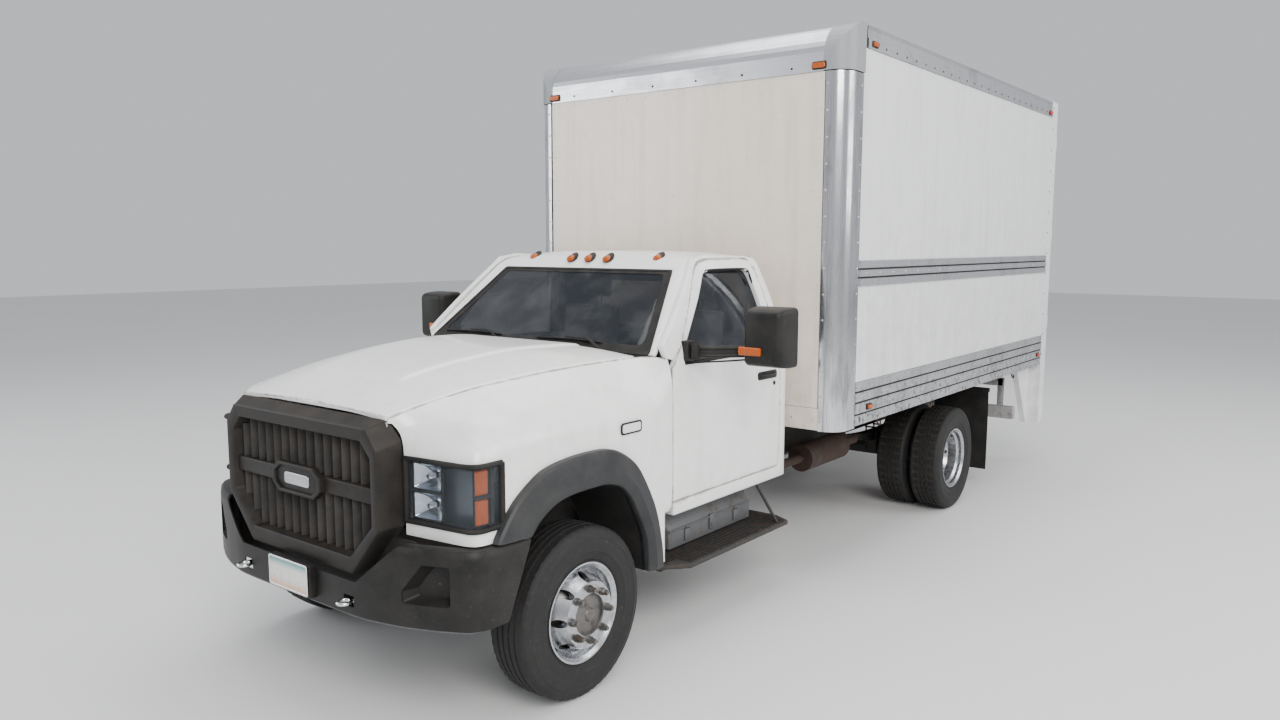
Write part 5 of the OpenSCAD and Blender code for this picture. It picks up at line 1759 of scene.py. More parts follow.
class TRUCK_OT_doors(bpy.types.Operator):
    """Doors: outer pressing with the window frame, inner trim, seals and handles"""

    bl_idname = "truck.doors"
    bl_label = "Doors"

    def execute(self, context):
        _, panels, *_ = sizes()
        mats = finishes()
        for side, m in (("left", 1), ("right", -1)):
            body = "door_" + side

            def put(obj, slot_name, finish, *nodes):
                piece = obj if m > 0 else mirrored(obj, obj.name + "_right")
                if m < 0:
                    bpy.data.objects.remove(obj)
                else:
                    piece.name += "_left"
                return fitted(piece, body, slot_name, mats[finish], *nodes)

            outline = [
                (0.776, 0.780), (1.898, 0.780), (1.900, 1.40), *DOOR_TOP[:-1], (0.806, 1.520), (
                    0.776, 1.505
                ),
            ]  # fmt: skip
            radii = [0.025, 0.030] + [0.012] * (len(outline) - 3) + [0.010]
            outer = side_plate(
                "door_panel", rounded(outline, radii, 4),
                [rounded(WINDOW, [0.02, 0.02] + [0.03] * 6 + [0.03, 0.02], 4)], 0.034
            )
            ring = [at(skin(z), s, z) for s, z in [*outline, outline[0]]]
            glass_ring = [at(skin(z), s, z) for s, z in [*WINDOW, WINDOW[0]]]
            mark_wear(outer, [ring], panels.wear)
            panel = put(outer, "body_white", "cab_paint", "door_" + side)
            if m < 0:
                mark_wear(panel, [[Vector((-p.x, p.y, p.z)) for p in ring]], panels.wear)
            # Inner trim: panel, pocket, armrest, edges and the window frame's lining
            trim = [
                block("trim", at(0.862, 0.800, 0.800), at(0.900, 1.880, 1.505), 0.012, 3),
                block("arm", at(0.815, 1.15, 1.20), at(0.866, 1.70, 1.255), 0.015, 3),
                block("pocket", at(0.835, 1.00, 0.84), at(0.866, 1.65, 0.98), 0.012, 3),
                block("edge", at(0.896, 0.778, 0.800), at(0.940, 0.800, 1.500), 0.004),
                block("edge", at(0.896, 1.876, 0.800), at(0.940, 1.896, 1.500), 0.004),
                block("edge", at(0.896, 0.790, 0.785), at(0.940, 1.890, 0.800), 0.004),
            ]
            # Dark plastic lining round the inside of the window frame, which also stands in for the shade
            # inside the cab seen through the glass
            liner = [(s, z) for s, z in DOOR_TOP if z > 1.515] + [(0.806, 1.516), (1.895, 1.516)]
            trim.append(
                side_plate(
                    "frame_trim_and_shade", rounded(liner, 0.01, 3), [rounded(WINDOW, 0.02, 4)], 0.003, 0.0355, 0.001
                )
            )
            put(joined("door_trim", trim), "cabin_plastic", "cabin")
            seal = tube(
                "window_seal", spline([p - Vector((0.004, 0, 0)) for p in glass_ring], 110), 0.006, 8,
                caps=False
            )
            strip = tube(
                "belt_seal", [at(skin(1.512) - 0.002, s, 1.514) for s in (0.90, 1.2, 1.5, 1.83)], 0.0075, 8
            )
            put(joined("door_seals", [seal, strip]), "trim_black", "seal")
            # Handle: a pull over a shallow dish, with its lock
            x = skin(1.37)
            dish = plate(
                "dish", rectangle(1.635, 1.860, 1.342, 1.392, 0.02), [], 0.004, lambda u, v,
                d: at(skin(v) + 0.0025 - d, u, v), 0.0015, 0.3
            )
            bar = tube(
                "pull",
                spline(
                    [
                        at(x - 0.002, 1.655, 1.366), at(x + 0.020, 1.675, 1.366),
                        at(x + 0.027, 1.745, 1.366), at(x + 0.020, 1.812, 1.366),
                        at(x - 0.002, 1.832, 1.366)
                    ],
                    30
                ),
                0.0085, 12
            )
            lock = turned(
                "lock",
                [(0.0, -0.002), (0.013, -0.002), (0.013, 0.006), (0.010, 0.009), (0.0, 0.009)],
                at(x, 1.885 - 0.06, 1.310), 24
            )
            put(joined("door_handle", [dish, bar, lock]), "trim_black", "trim")
            foot = block("mirror_foot", at(0.924, 0.893, 1.528), at(0.972, 0.966, 1.640), 0.010, 3)
            put(foot, "trim_black", "trim")
        return {"FINISHED"}


class TRUCK_OT_mirrors(bpy.types.Operator):
    """Outside mirrors: arm, housing, two glasses and an amber repeater"""

    bl_idname = "truck.mirrors"
    bl_label = "Mirrors"

    def execute(self, context):
        mats = finishes()
        for side, m in (("left", 1), ("right", -1)):
            body = "mirror_" + side
            arm = [tube("post", [at(0.998, 0.930, z) for z in (1.545, 1.58, 1.620)], 0.026, 24)]
            for z, r in ((1.603, 0.012), (1.562, 0.012)):
                arm.append(
                    tube(
                        "arm",
                        spline(
                            [
                                at(0.998, 0.93, z), at(1.07, 0.965, z), at(1.17, 1.06, z),
                                at(1.225, 1.115, z)
                            ],
                            24
                        ),
                        r, 14
                    )
                )
            web = spline(
                [
                    at(1.01, 0.935, 1.582), at(1.07, 0.966, 1.582), at(1.16, 1.05, 1.582),
                    at(1.215, 1.105, 1.582)
                ],
                20
            )
            arm.append(
                loft(
                    "web",
                    [
                        [p + Vector((0.004, -0.004, dz)) for dz in (-0.02, 0.02)] + [
                            p + Vector((-0.004, 0.004, dz)) for dz in (0.02, -0.02)
                        ]
                        for p in web
                    ],
                    closed=True, caps=True
                )
            )
            # Housing: rounded front shell that widens to the rim round the glass
            rings = []
            for s, inset, r in (
                (1.058, 0.036, 0.018), (1.061, 0.028, 0.022), (1.072, 0.018, 0.026), (1.095, 0.009, 0.028), (
                    1.140, 0.003, 0.030
                ),
                (1.180, 0.0, 0.030), (1.228, 0.0, 0.030), (1.2335, 0.004, 0.028), (
                    1.2335, 0.014, 0.024
                ), (1.224, 0.017, 0.022),
            ):  # fmt: skip
                rings.append(
                    [
                        at(p.x, s, p.y)
                        for p in rectangle(1.203 + inset, 1.452 - inset, 1.500 + inset, 1.822 - inset, r)
                    ]
                )
            shell = loft("shell", rings, closed=True, caps=True, angle=40)
            for v in shell.data.vertices:
                v.co.y += 0.10 * (v.co.x - 1.33) * 0.25
            housing = joined("mirror_housing_" + side, [*arm, shell])
            main = face_backwards(
                "mirror_glass_" + side, rectangle(1.222, 1.434, 1.606, 1.802, 0.03), 1.222, 0.006
            )
            wide = face_backwards(
                "mirror_wide_glass_" + side, rectangle(1.222, 1.434, 1.520, 1.594, 0.025), 1.222, 0.008
            )
            lamp = loft(
                "mirror_repeater_" + side,
                [
                    [at(p.x, s, p.y) for p in rectangle(1.192 + k, 1.330 - k, 1.568 + k, 1.612 - k, 0.010)]
                    for s, k in ((1.09, 0.0), (1.048, 0.0), (1.043, 0.004), (1.0415, 0.010))
                ],
                closed=True,
                caps=True,
            )
            for obj, slot_name, finish, nodes in (
                (housing, "trim_black", "trim", ("mirror_" + side,)),
                (main, "chrome", "mirror", ()),
                (wide, "chrome", "mirror", ()),
                (lamp, "lens", "amber", ()),
            ):
                if m < 0:
                    name = obj.name
                    obj.name = "spare"
                    flipped = mirrored(obj, name)
                    bpy.data.objects.remove(obj)
                    obj = flipped
                fitted(obj, body, slot_name, mats[finish], *nodes)
        return {"FINISHED"}


def face_backwards(name, outline, station, thickness):
    """Small plate that looks rearwards."""
    return plate(
        name, outline, [], thickness, lambda u, v, d: at(u, station + thickness - d + 0.02 * (u - 1.33), v),
        0.0015, 0.5
    )


class TRUCK_OT_wipers(bpy.types.Operator):
    """Wipers: spindle cap, arm and blade"""

    bl_idname = "truck.wipers"
    bl_label = "Wipers"

    def execute(self, context):
        mats = finishes()
        for side, x in (("left", 0.575), ("right", -0.213)):

            def on(dx, up, out):
                return screen_point(x + dx, up - 0.030, out)

            parts = [tube("spindle", [on(0, 0, k) for k in (0.004, 0.020, 0.036)], 0.015, 20)]
            arm = spline(
                [
                    on(0.0, 0.0, 0.028), on(-0.14, 0.078, 0.032), on(-0.235, 0.088, 0.030),
                    on(-0.325, 0.091, 0.026)
                ],
                30
            )
            rings = []
            for i, p in enumerate(arm):
                wide = 0.011 - 0.007 * i / 29
                up = Vector((0, math.cos(SCREEN_TILT), math.sin(SCREEN_TILT))) * wide
                out = Vector((0, -math.sin(SCREEN_TILT), math.cos(SCREEN_TILT))) * 0.004
                rings.append([p + up, p + up * 0.5 + out, p - up * 0.5 + out, p - up, p - out])
            parts.append(loft("arm", rings, closed=True, caps=True))
            blade = [on(dx, 0.086, 0.0) for dx in (-0.560, -0.40, -0.30, -0.20, -0.062)]
            lift = [0.006, 0.012, 0.016, 0.012, 0.006]
            out = Vector((0, -math.sin(SCREEN_TILT), math.cos(SCREEN_TILT)))
            parts.append(tube("frame", spline([p + out * k for p, k in zip(blade, lift)], 30), 0.004, 8))
            up = Vector((0, math.cos(SCREEN_TILT), math.sin(SCREEN_TILT))) * 0.0022
            parts.append(
                loft(
                    "rubber",
                    [
                        [
                            p + up + out * 0.001, p + up + out * 0.008, p - up + out * 0.008,
                            p - up + out * 0.001
                        ]
                        for p in (blade[0], blade[-1])
                    ],
                    closed=True, caps=True
                )
            )
            fitted(
                joined("wiper_arm_" + side, parts), "wiper_" + side, "trim_black", mats["seal"],
                "wiper_" + side
            )
        return {"FINISHED"}


class TRUCK_OT_roof_lamps(bpy.types.Operator):
    """Amber marker lamps on the cab roof and the cargo body, with the red rear ones"""

    bl_idname = "truck.roof_lamps"
    bl_label = "Marker lamps"

    def execute(self, context):
        mats = finishes()
        bases, lenses = [], []
        for x, s, z in (
            (0.0, 1.222, 2.064), (0.146, 1.223, 2.063), (-0.146, 1.223, 2.063), (0.503, 1.262, 2.070),
            (-0.503, 1.262, 2.070)
        ):
            lean = math.radians(36)
            up = Vector((0, -math.sin(lean), math.cos(lean)))
            run = Vector((0, math.cos(lean), math.sin(lean)))
            for store, grow, height, start in ((bases, 1.0, 0.020, 0.0), (lenses, 0.78, 0.020, 0.008)):
                rings = []
                for lift, share in ((0.0, 1.0), (0.4, 0.97), (0.75, 0.80), (0.93, 0.5), (1.0, 0.15)):
                    ring = []
                    for k in range(32):
                        a = 2 * math.pi * k / 32
                        # Teardrop: the front is round and the tail drawn out
                        tail = 1.0 + (0.75 if store is bases else 0.25) * max(0.0, math.sin(a)) ** 2
                        flat = Vector(
                            (0.036 * grow * share * math.cos(a), 0, 0)
                        ) + run * (0.034 * grow * share * math.sin(a) * tail)
                        flat -= run * (0.012 if store is lenses else 0.0)
                        ring.append(at(x, s, z) + flat + up * (start + height * lift))
                    rings.append(ring)
                store.append(loft("marker", rings, closed=True, caps=True, angle=50))
        fitted(joined("marker_bases", bases), "truck", "trim_black", mats["trim"])
        fitted(joined("marker_lenses", lenses), "truck", "lens", mats["amber"])
        # Flat lamps on the cargo body: front corners, side rails and rear frame
        pads, ambers, reds = [], [], []

        def lamp(store, middle, normal, long, wide=0.024):
            normal = Vector(normal)
            side = Vector((0, 0, 1)).cross(normal).normalized()
            for target, half, tall, depth in (
                (pads, long, wide, 0.007), (store, long - 0.008, wide - 0.007, 0.018)
            ):
                rings = []
                for out, share in ((0.0, 1.0), (0.7, 1.0), (1.0, 0.86)):
                    ring = rounded(
                        [
                            (-half * share, -tall * share), (half * share, -tall * share),
                            (half * share, tall * share), (-half * share, tall * share)
                        ],
                        tall * 0.6, 5
                    )
                    rings.append(
                        [
                            Vector(middle) + side * p.x + Vector((0, 0, p.y)) + normal * (
                                0.0005 + depth * out
                            )
                            for p in ring
                        ]
                    )
                target.append(loft("lamp", rings, closed=True, caps=True))

        for m in (-1, 1):
            lamp(ambers, at(m * 1.090, 2.0895, 3.231), (0, -1, 0), 0.05)
            wall = BODY_HALF
            lamp(ambers, (m * (wall + 0.004), BODY_FRONT + 0.36, 3.386), (m, 0, 0), 0.045, 0.020)
            lamp(reds, (m * (wall + 0.004), BODY_REAR - 0.26, 3.386), (m, 0, 0), 0.045, 0.020)
            lamp(reds, (m * (wall + 0.0065), BODY_REAR - 0.30, 1.105), (m, 0, 0), 0.040, 0.020)
            lamp(ambers, (m * (wall + 0.0085), BODY_FRONT + 0.42, 1.105), (m, 0, 0), 0.040, 0.020)
            for x in (0.62, 0.80):
                lamp(reds if x < 0.7 else reds, (m * x, BODY_REAR + 0.001, 1.072), (0, 1, 0), 0.07, 0.032)
            lamp(reds, (m * 1.10, BODY_REAR + 0.001, 3.44), (0, 1, 0), 0.045, 0.018)
        for x in (-0.15, 0.0, 0.15):
            lamp(reds, (x, BODY_REAR + 0.001, 3.44), (0, 1, 0), 0.045, 0.018)
        fitted(joined("body_lamp_pads", pads), "truck", "trim_black", mats["trim"])
        fitted(joined("body_lamps_amber", ambers), "truck", "lens", mats["amber"])
        fitted(joined("body_lamps_red", reds), "truck", "lens", mats["red"])
        return {"FINISHED"}


# ---- wheels ------------------------------------------------------------------------------------------

# Tyre section from bead to tread edge: (radius, distance from the middle plane)
SIDEWALL = [
    (0.2300, 0.088), (0.2330, 0.0945), (0.2420, 0.0965), (0.2500, 0.0970), (0.2560, 0.1035), (
        0.2640, 0.1070
    ),
    (0.2760, 0.1105), (0.2920, 0.1150), (0.2945, 0.1172), (0.2990, 0.1172), (0.3020, 0.1166), (
        0.3250, 0.1205
    ),
    (0.3400, 0.1215), (0.3560, 0.1206), (0.3585, 0.1222), (0.3640, 0.1216), (0.3665, 0.1194), (
        0.3820, 0.1160
    ),
    (0.3950, 0.1120), (0.4040, 0.1060), (0.4100, 0.0985), (0.4140, 0.0900),
]  # fmt: skip
TREAD_HALF = 0.088
GROOVES = (-0.052, -0.018, 0.018, 0.052)


def tyre(name, centre, blocks):
    """Tyre with ribs round its tread; blocks cuts the ribs across as well."""
    *_, wheels, _ = sizes()
    across = []
    for g in GROOVES:
        across += [(g - 0.0055, 0), (g - 0.0040, 1), (g + 0.0040, 1), (g + 0.0055, 0)]
    shoulder = [(TREAD_HALF - 0.001, 0), (TREAD_HALF - 0.014, 0)]
    tread = [(-h, d) for h, d in shoulder] + across + [(h, d) for h, d in reversed(shoulder)]
    profile, deep, lug = [], [], []
    for r, h in SIDEWALL:
        profile.append((r, -h))
        deep.append(0.0)
        lug.append(2 if r > 0.40 else 0)
    for h, d in tread:
        crown = TYRE_R - 0.0012 - 0.0035 * (h / TREAD_HALF) ** 2
        profile.append((crown - d * wheels.groove, h))
        deep.append(float(d))
        lug.append(0 if d else 1)
    for r, h in reversed(SIDEWALL):
        profile.append((r, h))
        deep.append(0.0)
        lug.append(2 if r > 0.40 else 0)
    profile += [
        (0.2300, 0.084), (0.2600, 0.095), (0.3900, 0.098), (0.4000, 0.080), (0.4000, -0.080),
        (0.3900, -0.098), (0.2600, -0.095), (0.2300, -0.084), profile[0]
    ]
    deep += [0.0] * 9
    lug += [0] * 9
    step = 4 if blocks else 3

    def dent(i, k):
        """Cross grooves: in the shoulders only on a ribbed tyre, through every rib on a block tyre."""
        here = k % step == 0
        if not lug[i] or not here:
            return 0.0
        outside = abs(profile[i][1]) > 0.056
        if blocks:
            return wheels.groove * 0.85 if lug[i] == 1 else 0.004
        return 0.003 if outside else 0.0012

    obj = turned(name, profile, centre, wheels.segments, "X", dent)
    marks = []
    for v in obj.data.vertices:
        r = math.hypot(v.co.y - centre[1], v.co.z - centre[2])
        floor = TYRE_R - wheels.groove - 0.002
        inside = abs(v.co.x - centre[0]) < TREAD_HALF and r < floor + 0.002
        marks.append(0.75 if inside else 0.0)
    obj.data.attributes.new("groove", "FLOAT", "POINT").data.foreach_set("value", marks)
    return obj


class TRUCK_OT_tyres(bpy.types.Operator):
    """Ribbed front tyres and block-tread rear pairs"""

    bl_idname = "truck.tyres"
    bl_label = "Tyres"

    def execute(self, context):
        rubber_finish = finishes()["tyre"]
        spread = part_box("tyres_rear_left")
        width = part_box("tyre_front_left")[1].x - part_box("tyre_front_left")[0].x
        outer = spread[1].x - width / 2
        inner = spread[0].x + width / 2
        for side, m in (("left", 1), ("right", -1)):
            front = tyre("tyre_front_" + side + "_moulded", (m * AXLE.x, AXLE.y, TYRE_R), False)
            fitted(front, "wheel_front_" + side, "tyre_rubber", rubber_finish, "tyre_front_" + side)
            for place, x in (("outer", outer), ("inner", inner)):
                rear = tyre(f"tyre_rear_{side}_{place}", (m * x, REAR_AXLE.y, TYRE_R), True)
                nodes = ("tyres_rear_" + side,) if place == "outer" else ()
                fitted(rear, "wheels_rear_" + side, "tyre_rubber", rubber_finish, *nodes)
        return {"FINISHED"}


# ---- cabin -------------------------------------------------------------------------------------------


def cushion(name, low, high, round_off, lean=0.0):
    """Padded block: remeshed, inflated as cloth, its growth capped, then smoothed."""
    body = block(name, low, high, round_off, 4)
    if lean:
        for v in body.data.vertices:
            v.co.y += (v.co.z - low[2]) * lean
    remesh = body.modifiers.new("remesh", "REMESH")
    remesh.mode = "VOXEL"
    remesh.voxel_size = CUSHION_VOXEL
    remesh.use_smooth_shade = True
    apply_all(body, 180)
    rest = [v.co.copy() for v in body.data.vertices]
    cloth_modifier = body.modifiers.new("pad", "CLOTH")
    settings = cloth_modifier.settings
    settings.quality = 6
    settings.mass = 0.3
    settings.tension_stiffness = 18
    settings.compression_stiffness = 18
    settings.shear_stiffness = 10
    settings.bending_stiffness = 0.6
    settings.use_pressure = True
    settings.uniform_pressure_force = 4
    settings.effector_weights.gravity = 0
    cloth_modifier.point_cache.frame_start = 1
    cloth_modifier.point_cache.frame_end = CUSHION_FRAMES
    scene = bpy.context.scene
    for number in range(1, CUSHION_FRAMES + 1):
        scene.frame_set(number)
        bpy.context.view_layer.update()
    apply_all(body, 180)
    scene.frame_set(1)
    for v, was in zip(body.data.vertices, rest):
        move = v.co - was
        if move.length > CUSHION_GROWTH:
            v.co = was + move.normalized() * CUSHION_GROWTH
    smooth = body.modifiers.new("smooth", "SUBSURF")
    smooth.levels = smooth.render_levels = 1
    return apply_all(body, 180)


class TRUCK_OT_seats(bpy.types.Operator):
    """Two padded seats with backrests and headrests"""

    bl_idname = "truck.seats"
    bl_label = "Seats"

    def execute(self, context):
        mats = finishes()
        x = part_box("seats")[1].x - 0.26
        parts = {
            "seat_cushion": (at(x - 0.255, 1.190, 1.050), at(x + 0.255, 1.680, 1.160), 0.045, 0.0),
            "seat_back": (at(x - 0.238, 1.600, 1.180), at(x + 0.238, 1.690, 1.755), 0.040, 0.17),
            "seat_headrest": (at(x - 0.118, 1.742, 1.800), at(x + 0.118, 1.812, 1.945), 0.030, 0.06),
        }
        for name, (a, b, r, lean) in parts.items():
            left = cushion(name + "_left", a, b, r, lean)
            right = mirrored(left, name + "_right")
            for obj in (left, right):
                nodes = ("seats",) if obj.name == "seat_cushion_left" else ()
                fitted(obj, "truck", "seat_fabric", mats["fabric"], *nodes)
        bases = []
        for m in (-1, 1):
            mid = m * x
            bases.append(block("base", at(mid - 0.20, 1.23, 0.898), at(mid + 0.20, 1.62, 0.945), 0.012, 3))
            bases.append(block("base", at(mid - 0.23, 1.20, 0.975), at(mid + 0.23, 1.66, 1.048), 0.015, 3))
            bases.append(block("base", at(mid - 0.12, 1.30, 0.940), at(mid + 0.12, 1.55, 0.980), 0.01, 3))
            for dx in (-0.05, 0.05):
                bases.append(
                    tube("stalk", [at(mid + dx, 1.760, 1.72), at(mid + dx, 1.775, 1.83)], 0.007, 10)
                )
        fitted(joined("seat_bases", bases), "truck", "cabin_plastic", mats["cabin"])
        return {"FINISHED"}


class TRUCK_OT_dashboard(bpy.types.Operator):
    """Dashboard with its hood over the instruments, vents, knobs, steering column and inside mirror"""

    bl_idname = "truck.dashboard"
    bl_label = "Dashboard"

    def execute(self, context):
        mats = finishes()
        section = [
            (0.732, 1.160), (0.732, 1.478), (0.800, 1.497), (0.905, 1.487), (0.958, 1.440), (0.968, 1.390),
            (0.935, 1.270), (0.830, 1.160)
        ]
        ring = rounded(section, 0.025, 4)
        rings = []
        for k in range(49):
            x = -0.775 + 1.55 * k / 48
            bulge = 0.9 * math.exp(-(((x - 0.42) / 0.20) ** 2))
            rings.append(
                [
                    at(
                        x, p.x + 0.010 * bulge * (p.x > 0.85),
                        p.y + 0.026 * bulge * max(0.0, (p.y - 1.40) / 0.1)
                    )
                    for p in ring
                ]
            )
        parts = [loft("dash", rings, closed=True, caps=True, angle=45)]
        for x in (-0.66, -0.15, 0.15, 0.68):
            parts.append(block("vent", at(x - 0.055, 0.935, 1.375), at(x + 0.055, 0.972, 1.425), 0.008, 3))
        for k in range(3):
            parts.append(
                turned(
                    "knob",
                    [(0.0, 0.0), (0.018, 0.0), (0.018, 0.014), (0.014, 0.018), (0.0, 0.018)], (0, 0, 0), 20,
                    "Z"
                )
            )
            for v in parts[-1].data.vertices:
                v.co = at(-0.06 + 0.06 * k + v.co.x, 0.955 + v.co.z, 1.330 + v.co.y)
            tidy(parts[-1])
        tilt = math.radians(32)
        direction = Vector((0, -math.cos(tilt), -math.sin(tilt)))
        column = at(0.420, 1.010, 1.420)
        parts.append(tube("column", [column + direction * k for k in (0.02, 0.05, 0.10)], 0.034, 24))
        dash = joined("dashboard_moulded", parts)
        fitted(dash, "truck", "cabin_plastic", mats["cabin"], "dashboard")
        glass = block("inside_mirror", at(-0.112, 1.196, 1.902), at(0.112, 1.214, 1.966), 0.008, 3)
        stalk = tube("stalk", [at(0, 1.200, 1.95), at(0, 1.175, 1.985), at(0, 1.165, 2.000)], 0.007, 10)
        fitted(joined("inside_mirror_body", [glass, stalk]), "truck", "cabin_plastic", mats["cabin"])
        return {"FINISHED"}


# ---- cargo body and chassis --------------------------------------------------------------------------


class TRUCK_OT_body_trim(bpy.types.Operator):
    """Battery box, steps, brackets, mud flaps and underrun bar"""

    bl_idname = "truck.body_trim"
    bl_label = "Body trim"

    def execute(self, context):
        mats = finishes()
        # Battery box under the driver's door, with its sloping lid, latch and hinges
        box = loft(
            "tool_box",
            [
                [
                    at(x, s, z) for x,
                    z in ((0.480, 0.453), (0.848, 0.453), (0.848, 0.560), (0.762, 0.690), (0.480, 0.690))
                ]
                for s in (0.902, 1.758)
            ],
            closed=True,
            caps=True,
        )
        bevelled(box, 0.010, 3)
        lip = [tube("lip", [at(0.851, s, 0.560) for s in (0.905, 1.3, 1.755)], 0.006, 8)]
        for s in (1.05, 1.56):
            lip.append(block("hinge", at(0.846, s, 0.480), at(0.858, s + 0.05, 0.545), 0.003))
            lip.append(tube("pin", [at(0.858, s, 0.560), at(0.858, s + 0.05, 0.560)], 0.006, 10))
        lip.append(block("latch", at(0.846, 1.300, 0.490), at(0.860, 1.345, 0.575), 0.004))
        lip.append(
            turned(
                "lock", [(0.0, 0.0), (0.011, 0.0), (0.011, 0.006), (0.0, 0.006)], at(0.8595, 1.322, 0.515),
                20
            )
        )
        box = joined("tool_box", [box, *lip])
        mark_wear(
            box,
            [[at(0.848, s, 0.560) for s in (0.90, 1.76)], [at(0.848, s, 0.453) for s in (0.90, 1.76)]], 0.05
        )
        fitted(box, "truck", "grey_steel", mats["tool_grey"], "battery_box")
        # Steps: board with a rolled edge, cross ribs, hangers and stays
        steps = []
        for m in (-1, 1):
            outline = [
                (0.700, 0.702), (0.928, 0.702), (1.048, 0.842), (1.048, 1.898), (0.928, 1.958),
                (0.700, 1.958)
            ]
            board = plate(
                "board", rounded([(m * x, s) for x, s in outline], 0.02), [], 0.026, lambda u, v,
                d: at(u, v, 0.4385 - d), 0.006, 0.5
            )
            steps.append(board)
            for k in range(48):
                s = 0.74 + k * 0.0245
                reach = 1.030 if 0.86 < s < 1.88 else 0.94
                a, b = sorted((m * 0.720, m * reach))
                steps.append(block("rib", at(a, s, 0.4375), at(b, s + 0.009, 0.4445)))
            for s in (0.760, 1.860):
                a, b = sorted((m * 0.445, m * 0.900))
                steps.append(block("hanger", at(a, s, 0.381), at(b, s + 0.040, 0.409), 0.004))
            a, b = sorted((m * 0.431, m * 0.444))
            steps.append(block("hanger", at(a, 0.700, 0.381), at(b, 1.958, 0.598), 0.003))
            steps.append(tube("stay", [at(m * 0.93, 1.655, 0.742), at(m * 1.02, 1.80, 0.444)], 0.010, 12))
        fitted(joined("steps", steps), "truck", "chassis_black", mats["chassis"], "step_boards")
        # Rusty triangular bracket behind the step, and rope hooks under the bottom rail
        extra = []
        for m in (-1, 1):
            extra.append(
                prism(
                    "bracket", [(2.000, 0.96), (2.420, 0.96), (2.060, 0.64), (2.000, 0.64)],
                    *sorted((m * 0.70, m * 0.708))
                )
            )
            for s in (2.70, 3.60, 5.60):
                hook = [
                    at(m * 1.262, s, 1.012), at(m * 1.262, s, 0.975), at(m * 1.268, s + 0.015, 0.955),
                    at(m * 1.268, s + 0.04, 0.955), at(m * 1.262, s + 0.05, 0.975)
                ]
                extra.append(tube("hook", spline(hook, 20), 0.006, 10))
        fitted(joined("brackets", extra), "truck", "rusty_steel", mats["rust"])
        # Mud flaps behind the rear wheels, ribbed along their length
        flaps = []
        for m in (-1, 1):
            rings = []
            for k in range(25):
                z = 0.168 + 0.725 * k / 24
                sway = 0.008 * math.sin(k / 24 * math.pi)
                rings.append(
                    [
                        at(m * x, 5.203 + sway + (0.002 if j % 2 else 0), z) for j,
                        x in enumerate([0.702 + 0.486 * i / 32 for i in range(33)])
                    ]
                )
            flaps.append(thickened(loft("flap", rings), 0.005, inside=at(m * 0.94, 5.25, 0.5)))
            a, b = sorted((m * 0.431, m * 1.190))
            flaps.append(block("bar", at(a, 5.212, 0.862), at(b, 5.239, 0.898), 0.004))
        fitted(joined("mud_flaps", flaps), "truck", "trim_black", mats["seal"])
        # Underrun bar with its struts
        bar = [block("bar", at(-1.108, 6.217, 0.462), at(1.108, 6.273, 0.588), 0.012, 3)]
        for m in (-1, 1):
            for x0, x1, z0, z1 in ((0.942, 0.998, 0.580, 0.860), (0.431, 1.000, 0.780, 0.857)):
                a, b = sorted((m * x0, m * x1))
                bar.append(block("strut", at(a, 6.227, z0), at(b, 6.263, z1), 0.005))
        bar = joined("underrun_bar", bar)
        fitted(bar, "truck", "zinc", mats["underrun"], "rear_guard")
        return {"FINISHED"}


def keep(mapping):
    """Materials for the CAD nodes that stay visible."""
    mats = finishes()
    for finish, nodes in mapping.items():
        for node in nodes.split():
            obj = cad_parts[node]
            if obj.hide_render:
                continue
            obj.data.materials.clear()
            obj.data.materials.append(mats[finish])


class TRUCK_OT_finishes(bpy.types.Operator):
    """Materials on the CAD's own pieces that stay in view"""

    bl_idname = "truck.finishes"
    bl_label = "Finishes"

    def execute(self, context):
        keep({
            "chassis": "chassis_frame front_axle_beam rear_axle_housing leaf_springs "
            "knuckle_left knuckle_right tie_rod",
            "cast": "engine drive_shaft",
            "rust": "exhaust_muffler",
            "tool_grey": "fuel_tank",
            "cabin": "steering_wheel",
            "rim": "rim_front_left rim_front_right rims_rear_left rims_rear_right",
            "hub": "hub_front_left hub_front_right hub_rear_left hub_rear_right",
            "side_paint": "box_side_left box_side_right rear_frame cargo_door_left cargo_door_right",
            "nose": "box_roof",
            "front_paint": "box_front_wall",
            "polished": "corner_posts",
            "galvanised": "side_rails",
            "wood": "box_floor",
            "zinc": "lock_rod_left lock_rod_right",
        })  # fmt: skip
        return {"FINISHED"}


# ---- fasteners ---------------------------------------------------------------------------------------


